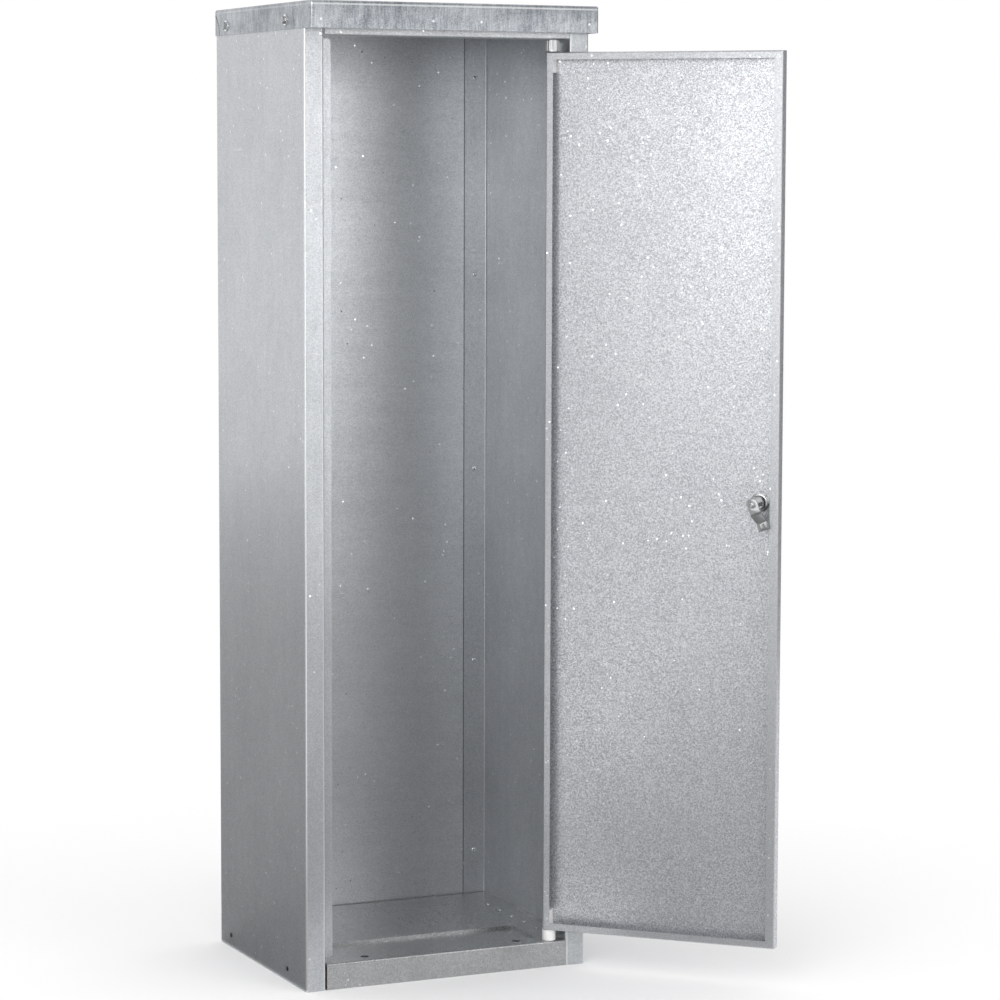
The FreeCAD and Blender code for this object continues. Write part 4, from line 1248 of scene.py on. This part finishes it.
@dataclass
class CamLock(HexFixings):
    """The lock: threaded barrel with a keyed head, washer, nut, cranked lever and its screw."""

    head_height: float = 4.0 * MM
    key_chamfer: float = 0.5 * MM
    inner_land: float = 2.2 * MM
    outer_land: float = 2.4 * MM
    groove_slope: float = 0.4 * MM
    groove_depth: float = 0.3 * MM
    rim_round: float = 1.2 * MM
    rim_shoulder: float = 0.35 * MM
    barrel_thread: float = 0.45 * MM
    barrel_chamfer: float = 0.6 * MM
    flat_gap: float = 0.9 * MM
    nut_wall: float = 3.0 * MM
    nut_edge: float = 0.15 * MM
    strap: float = 3.0 * MM
    hub_flat: float = 14.0 * MM
    hub_round: float = 0.97
    slope: float = 12.0 * MM
    bend: float = 2.2 * MM
    lever_edge: float = 0.3 * MM
    shank_hole: float = 3.55 * MM
    rib_radius: float = 1.3 * MM
    rib_inset: float = 3.4 * MM
    rib_rise: float = 0.55 * MM
    rib_start: float = 1.0 * MM
    rib_end: float = 2.0 * MM
    screw_shank: float = 2.0 * MM
    screw_tip: float = 0.7
    screw_chamfer: float = 0.6 * MM
    dome_foot: float = 0.3
    dome_flat: float = 0.35
    cross_arm: float = 0.55
    cross_width: float = 0.55 * MM
    cross_sink: float = 1.3 * MM

    def __post_init__(self) -> None:
        """Read the lock's axis and the lever's rest from its joint, and the barrel's size from its nut."""
        turn = joint("lock_turn")
        self.origin = Vector(turn["pos_m"])
        self.axis = Vector(turn["axis"]).normalized()
        rest = math.radians(-turn["range_deg"][0])
        self.down = Matrix.Rotation(rest, 3, self.axis) @ -UP
        self.upright = self.frame_towards(-UP)
        self.tilted = self.frame_towards(self.down)
        self.flats = self.girth("lock_nut") * math.sqrt(3)
        self.barrel = self.flats / 2 - self.nut_wall

    def frame_towards(self, down: Vector) -> Matrix:
        """The place of a piece about the lock's axis, drawn with -Y pointing down."""
        across = (-down).cross(self.axis)
        turn = Matrix((across, -down, self.axis)).transposed()
        return Matrix.Translation(self.origin) @ turn.to_4x4()

    def reach(self, node: str) -> Span:
        """How far a node reaches along the lock's axis."""
        return Gauge.reach(node, self.origin, self.axis)

    def girth(self, node: str) -> float:
        """How far a node reaches out from the lock's axis."""
        return Gauge.girth(node, self.origin, self.axis)

    def fit(
        self, piece: Workpiece, node: str, body: Body, place: Matrix, finish: PlatedFinish = Finishes.chrome
    ) -> None:
        """Smooth and dress a piece and put it where its node is."""
        piece.smooth().dress(finish).place(place).hand_over(body, Slot.CHROME, node)

    def build_barrel(self) -> None:
        """Turn the keyed head and the threaded barrel, and mill two flats on it."""
        low, high = self.reach("lock_housing")
        seat, groove = low + self.head_height, low + self.groove_depth
        head, bore = self.girth("lock_housing"), self.girth("lock_rotor") + self.bore_gap
        inner, outer, barrel = bore + self.inner_land, head - self.outer_land, self.barrel
        turns = int((high - seat - self.chamfer) / self.pitch)
        housing = Workpiece.turned("threaded_lock_barrel", [
            (bore, low + self.key_chamfer), (bore + self.key_chamfer, low), (inner, low),
            (inner + self.groove_slope, groove), (outer - self.groove_slope, groove), (outer, low),
            (head - self.rim_round, low), (head - self.rim_shoulder, low + self.rim_shoulder),
            (head, low + self.rim_round), (head, seat),
            *self.thread(barrel, self.barrel_thread, seat, turns), (barrel, seat + turns * self.pitch),
            (barrel - self.barrel_chamfer, high), (bore, high),
        ], sides=64, bored=True)
        for side in (-1, 1):
            near, far = sorted((side * (barrel - self.flat_gap), side * 2 * barrel))
            tool = Workpiece.block("flat", (near, -2 * barrel, seat + MM), (far, 2 * barrel, high + MM))
            housing.combine(tool, Cut.REST)
        self.fit(housing, "lock_housing", Body.DOOR, self.upright)

    def build_nut(self) -> None:
        """Turn the washer and the nut that hold the barrel."""
        bore = self.barrel + self.bore_gap
        nut = self.nut("hex_lock_nut", self.flats, bore, *self.reach("lock_nut"), sides=72)
        self.fit(nut.soften(self.nut_edge), "lock_nut", Body.DOOR, self.tilted)
        ring = self.washer("lock_ring_washer", bore, self.girth("lock_washer"), *self.reach("lock_washer"))
        self.fit(ring, "lock_washer", Body.DOOR, self.upright)

    def build_lever(self) -> None:
        """Cut the strap, round its hub, crank it, give it its thickness and press its ribs."""
        low, high = self.reach("cam_lever")
        hub, tip = Gauge.reach("cam_lever", self.origin, self.down)
        crank = high - low - self.strap
        level = high - self.strap / 2
        lever = Workpiece.start(
            "cranked_cam_lever", bpy.ops.mesh.primitive_plane_add, (-2 * hub, self.hub_flat - hub, 1),
            size=1, location=(0, -(hub + self.hub_flat) / 2, level),
        )
        lever.open("VERT")
        lever.pick(lambda p: p.y > 0)
        bpy.ops.mesh.bevel(offset=-hub * self.hub_round, segments=12, affect="VERTICES")
        lever.pick(lambda p: p.y < TOUCH - self.hub_flat, "EDGE")
        run = self.hub_flat + self.slope
        for step in ((0, -self.slope, -crank), (0, run - tip, 0)):
            bpy.ops.mesh.extrude_region_move(TRANSFORM_OT_translate={"value": step})
        for bend in (self.hub_flat, run):
            lever.pick(lambda p: abs(p.y + bend) < TOUCH, "EDGE")
            bpy.ops.mesh.bevel(offset=self.bend, segments=5, affect="EDGES")
        lever.close()
        lever.apply("SOLIDIFY", thickness=self.strap, offset=0, use_even_offset=True)
        hole = self.shank_hole
        tool = Workpiece.block("shank_hole", (-hole, -hole, level - crank), (hole, hole, high + MM))
        lever.combine(tool, Cut.REST)
        ridge = low + self.strap + self.rib_rise - self.rib_radius
        start, end = -(run + self.bend + self.rib_start), self.rib_end - tip
        for side in (-1, 1):
            rib = Workpiece.start(
                "rib", bpy.ops.mesh.primitive_uv_sphere_add, (1, abs(end - start) / 2 / self.rib_radius, 1),
                segments=24, ring_count=12, radius=self.rib_radius,
                location=(side * self.rib_inset, (start + end) / 2, ridge),
            )
            lever.combine(rib, Cut.BOTH)
        self.fit(lever.soften(self.lever_edge), "cam_lever", Body.LATCH, self.tilted, Finishes.satin)

    def build_screw(self) -> None:
        """Turn the lever's washer and its domed screw, and cut the cross in its head."""
        low, high = self.reach("cam_washer")
        shank = self.screw_shank
        ring = self.washer("cam_ring_washer", shank + self.bore_gap, self.girth("cam_washer"), low, high)
        self.fit(ring, "cam_washer", Body.LATCH, self.tilted)
        end, crown = self.reach("cam_screw")
        head = self.girth("cam_screw")
        rim = high + (crown - high) * self.dome_foot
        screw = Workpiece.turned("domed_cam_screw", [
            (shank * self.screw_tip, end), (shank, end + self.screw_chamfer), (shank, high), (head, high),
            (head, rim), *dome(head, head * self.dome_flat, rim, crown),
        ], sides=40)
        arm, slot = head * self.cross_arm, self.cross_width
        for wide, tall in ((arm, slot), (slot, arm)):
            tool = Workpiece.block("cross", (-wide, -tall, crown - self.cross_sink), (wide, tall, crown + MM))
            screw.combine(tool, Cut.REST)
        self.fit(screw, "cam_screw", Body.LATCH, self.tilted)

    def build_all(self) -> None:
        """Build the lock and dress its rotor."""
        self.build_barrel()
        self.build_nut()
        self.build_lever()
        self.build_screw()
        Finishes.dress(Finishes.chrome, "lock_rotor")


@dataclass(frozen=True)
class Softbox:
    """A wide lamp that looks at a point."""

    name: str
    place: Triple
    target: Triple
    width: float
    height: float
    level: float

    def build(self) -> None:
        """Hang the lamp, as bright to look at as its level says."""
        data = bpy.data.lights.new(self.name, "AREA")
        data.shape = "RECTANGLE"
        data.size = self.width
        data.size_y = self.height
        data.energy = self.level * math.pi * self.width * self.height
        lamp = bpy.data.objects.new(self.name, data)
        lamp.location = self.place
        aim = Vector(self.target) - Vector(self.place)
        lamp.rotation_euler = aim.to_track_quat("-Z", "Y").to_euler()
        lamp.visible_camera = False
        bpy.context.collection.objects.link(lamp)


@dataclass(frozen=True)
class Flag:
    """A grey card that only the metal mirrors, as in a photographer's room."""

    name: str
    low: Triple
    high: Triple
    along: float
    width: float
    tone: float

    def build(self) -> None:
        """Set the card up between the middles of its lower and its upper edge."""
        card = Workpiece.start(self.name, bpy.ops.mesh.primitive_plane_add, size=1)
        low, high = Vector(self.low), Vector(self.high)
        angle = math.radians(self.along)
        side = Vector((math.cos(angle), math.sin(angle), 0)) * self.width
        turn = Matrix((side, high - low, side.cross(high - low))).transposed()
        card.place(Matrix.Translation((low + high) / 2) @ turn.to_4x4())
        grey = {"Base Color": (self.tone, self.tone, self.tone, 1), "Specular IOR Level": 0.0}
        card.item.data.materials.append(Surface(self.name).coat(grey))
        for ray in ("camera", "diffuse", "shadow", "transmission"):
            setattr(card.item, f"visible_{ray}", False)


@dataclass
class Studio:
    """A white room with a floor, soft lamps, dark cards and the camera."""

    camera_place: Triple = (-1.9502, -4.5902, 1.1783)
    yaw: float = 24.719
    pitch: float = -5.698
    roll: float = 0.164
    focal_pixels: float = 3388.4
    image_pixels: float = 1000.0
    sensor: float = 36.0
    floor_width: float = 80.0
    floor_colour: Colour = (0.92, 0.92, 0.92)
    floor_fade: Span = (0.55, 1.3)
    lamps: tuple[Softbox, ...] = (
        Softbox("door_softbox", (-2.55, -2.75, 1.8), (0.3, -0.3, 1.0), 1.8, 2.3, 3.0),
        Softbox("post_softbox", (1.9, -4.5, 1.65), (-0.1, -0.2, 1.0), 2.6, 2.4, 2.3),
        Softbox("camera_softbox", (-2.2, -5.1, 1.8), (0.0, 0.0, 1.1), 1.8, 1.3, 3.2),
    )
    flags: tuple[Flag, ...] = (
        Flag("front_flag", (1.85, -6.5, 0.0), (1.85, -6.5, 4.5), 0.0, 6.3, 0.1),
        Flag("left_flag", (-5.15, -3.4, 0.0), (-5.15, -3.4, 4.5), -60.0, 4.15, 0.1),
        Flag("right_flag", (4.8, -3.5, 0.0), (4.8, -3.5, 4.5), 60.0, 5.5, 0.1),
        Flag("wall_flag", (-0.2225, 0.7, 0.001), (-0.85, 0.7, 0.6), 90.0, 2.0, 0.33),
        Flag("door_flag", (0.36, -0.5, 0.002), (-0.28, -1.14, 0.5), -45.0, 0.6, 0.42),
        Flag("post_flag", (0.05, -0.55, 0.003), (0.25, -1.25, 0.36), -22.0, 1.2, 0.25),
        Flag("lid_flag", (0.2, -0.55, 1.4), (0.2, -0.55, 1.8), 0.0, 0.9, 0.1),
        Flag("rim_flag", (3.0, 1.1, 0.0), (3.0, 1.1, 3.0), -60.0, 2.0, 0.12),
    )

    def build_floor(self) -> None:
        """Lay a pale floor that takes the object's shadow and turns plain white further off."""
        floor = Workpiece.start("studio_floor", bpy.ops.mesh.primitive_plane_add, size=self.floor_width)
        bench = Surface("studio_floor")
        matt = {"Base Color": (*self.floor_colour, 1), "Roughness": 1.0, "Specular IOR Level": 0.0}
        floor.item.data.materials.append(bench.coat(matt))
        white = bench.add("Emission", {"Strength": 1.0})
        fade = bench.ramp(bench.vector("LENGTH", bench.place), self.floor_fade)
        mix = bench.add("MixShader", {"Fac": fade})
        for number, shader in enumerate((bench.shader, white), 1):
            bench.feed(mix.inputs[number], shader.outputs[0])
        bench.feed(bench.end.inputs["Surface"], mix.outputs[0])

    def build_world(self) -> None:
        """Make the room white all round."""
        world = bpy.data.worlds.new("studio_world")
        world.use_nodes = True
        bench = NodeBench(world.node_tree)
        light = bench.add("Background", {"Color": (1, 1, 1, 1), "Strength": 1.0})
        bench.add("OutputWorld", {"Surface": light.outputs[0]})
        bpy.context.scene.world = world

    def build_camera(self) -> None:
        """Stand the camera where the view was taken from."""
        yaw, pitch, roll = (math.radians(angle) for angle in (self.yaw, self.pitch, self.roll))
        ahead = Vector((
            math.sin(yaw) * math.cos(pitch), math.cos(yaw) * math.cos(pitch), math.sin(pitch)
        ))
        level = Vector((math.cos(yaw), -math.sin(yaw), 0))
        above = level.cross(ahead)
        right = level * math.cos(roll) + above * math.sin(roll)
        turn = Matrix((right, right.cross(ahead), -ahead)).transposed()
        data = bpy.data.cameras.new("studio_camera")
        data.sensor_width = self.sensor
        data.lens = self.sensor * self.focal_pixels / self.image_pixels
        camera = bpy.data.objects.new("studio_camera", data)
        camera.matrix_world = Matrix.Translation(self.camera_place) @ turn.to_4x4()
        bpy.context.collection.objects.link(camera)
        bpy.context.scene.camera = camera

    def build_all(self) -> None:
        """Set up the studio."""
        self.build_floor()
        self.build_world()
        for prop in (*self.lamps, *self.flags):
            prop.build()
        self.build_camera()
        bpy.context.scene.view_settings.view_transform = "Standard"


def main() -> None:
    """Build the classes in order."""
    logging.basicConfig(level=logging.INFO, format="%(name)s: %(message)s")
    Housing().dress()
    BlindRivets().build_all()
    RoofFixings().build_all()
    Hinges().build_all()
    DoorLeaf().dress()
    CamLock().build_all()
    Studio().build_all()


if __name__ == "__main__":
    main()
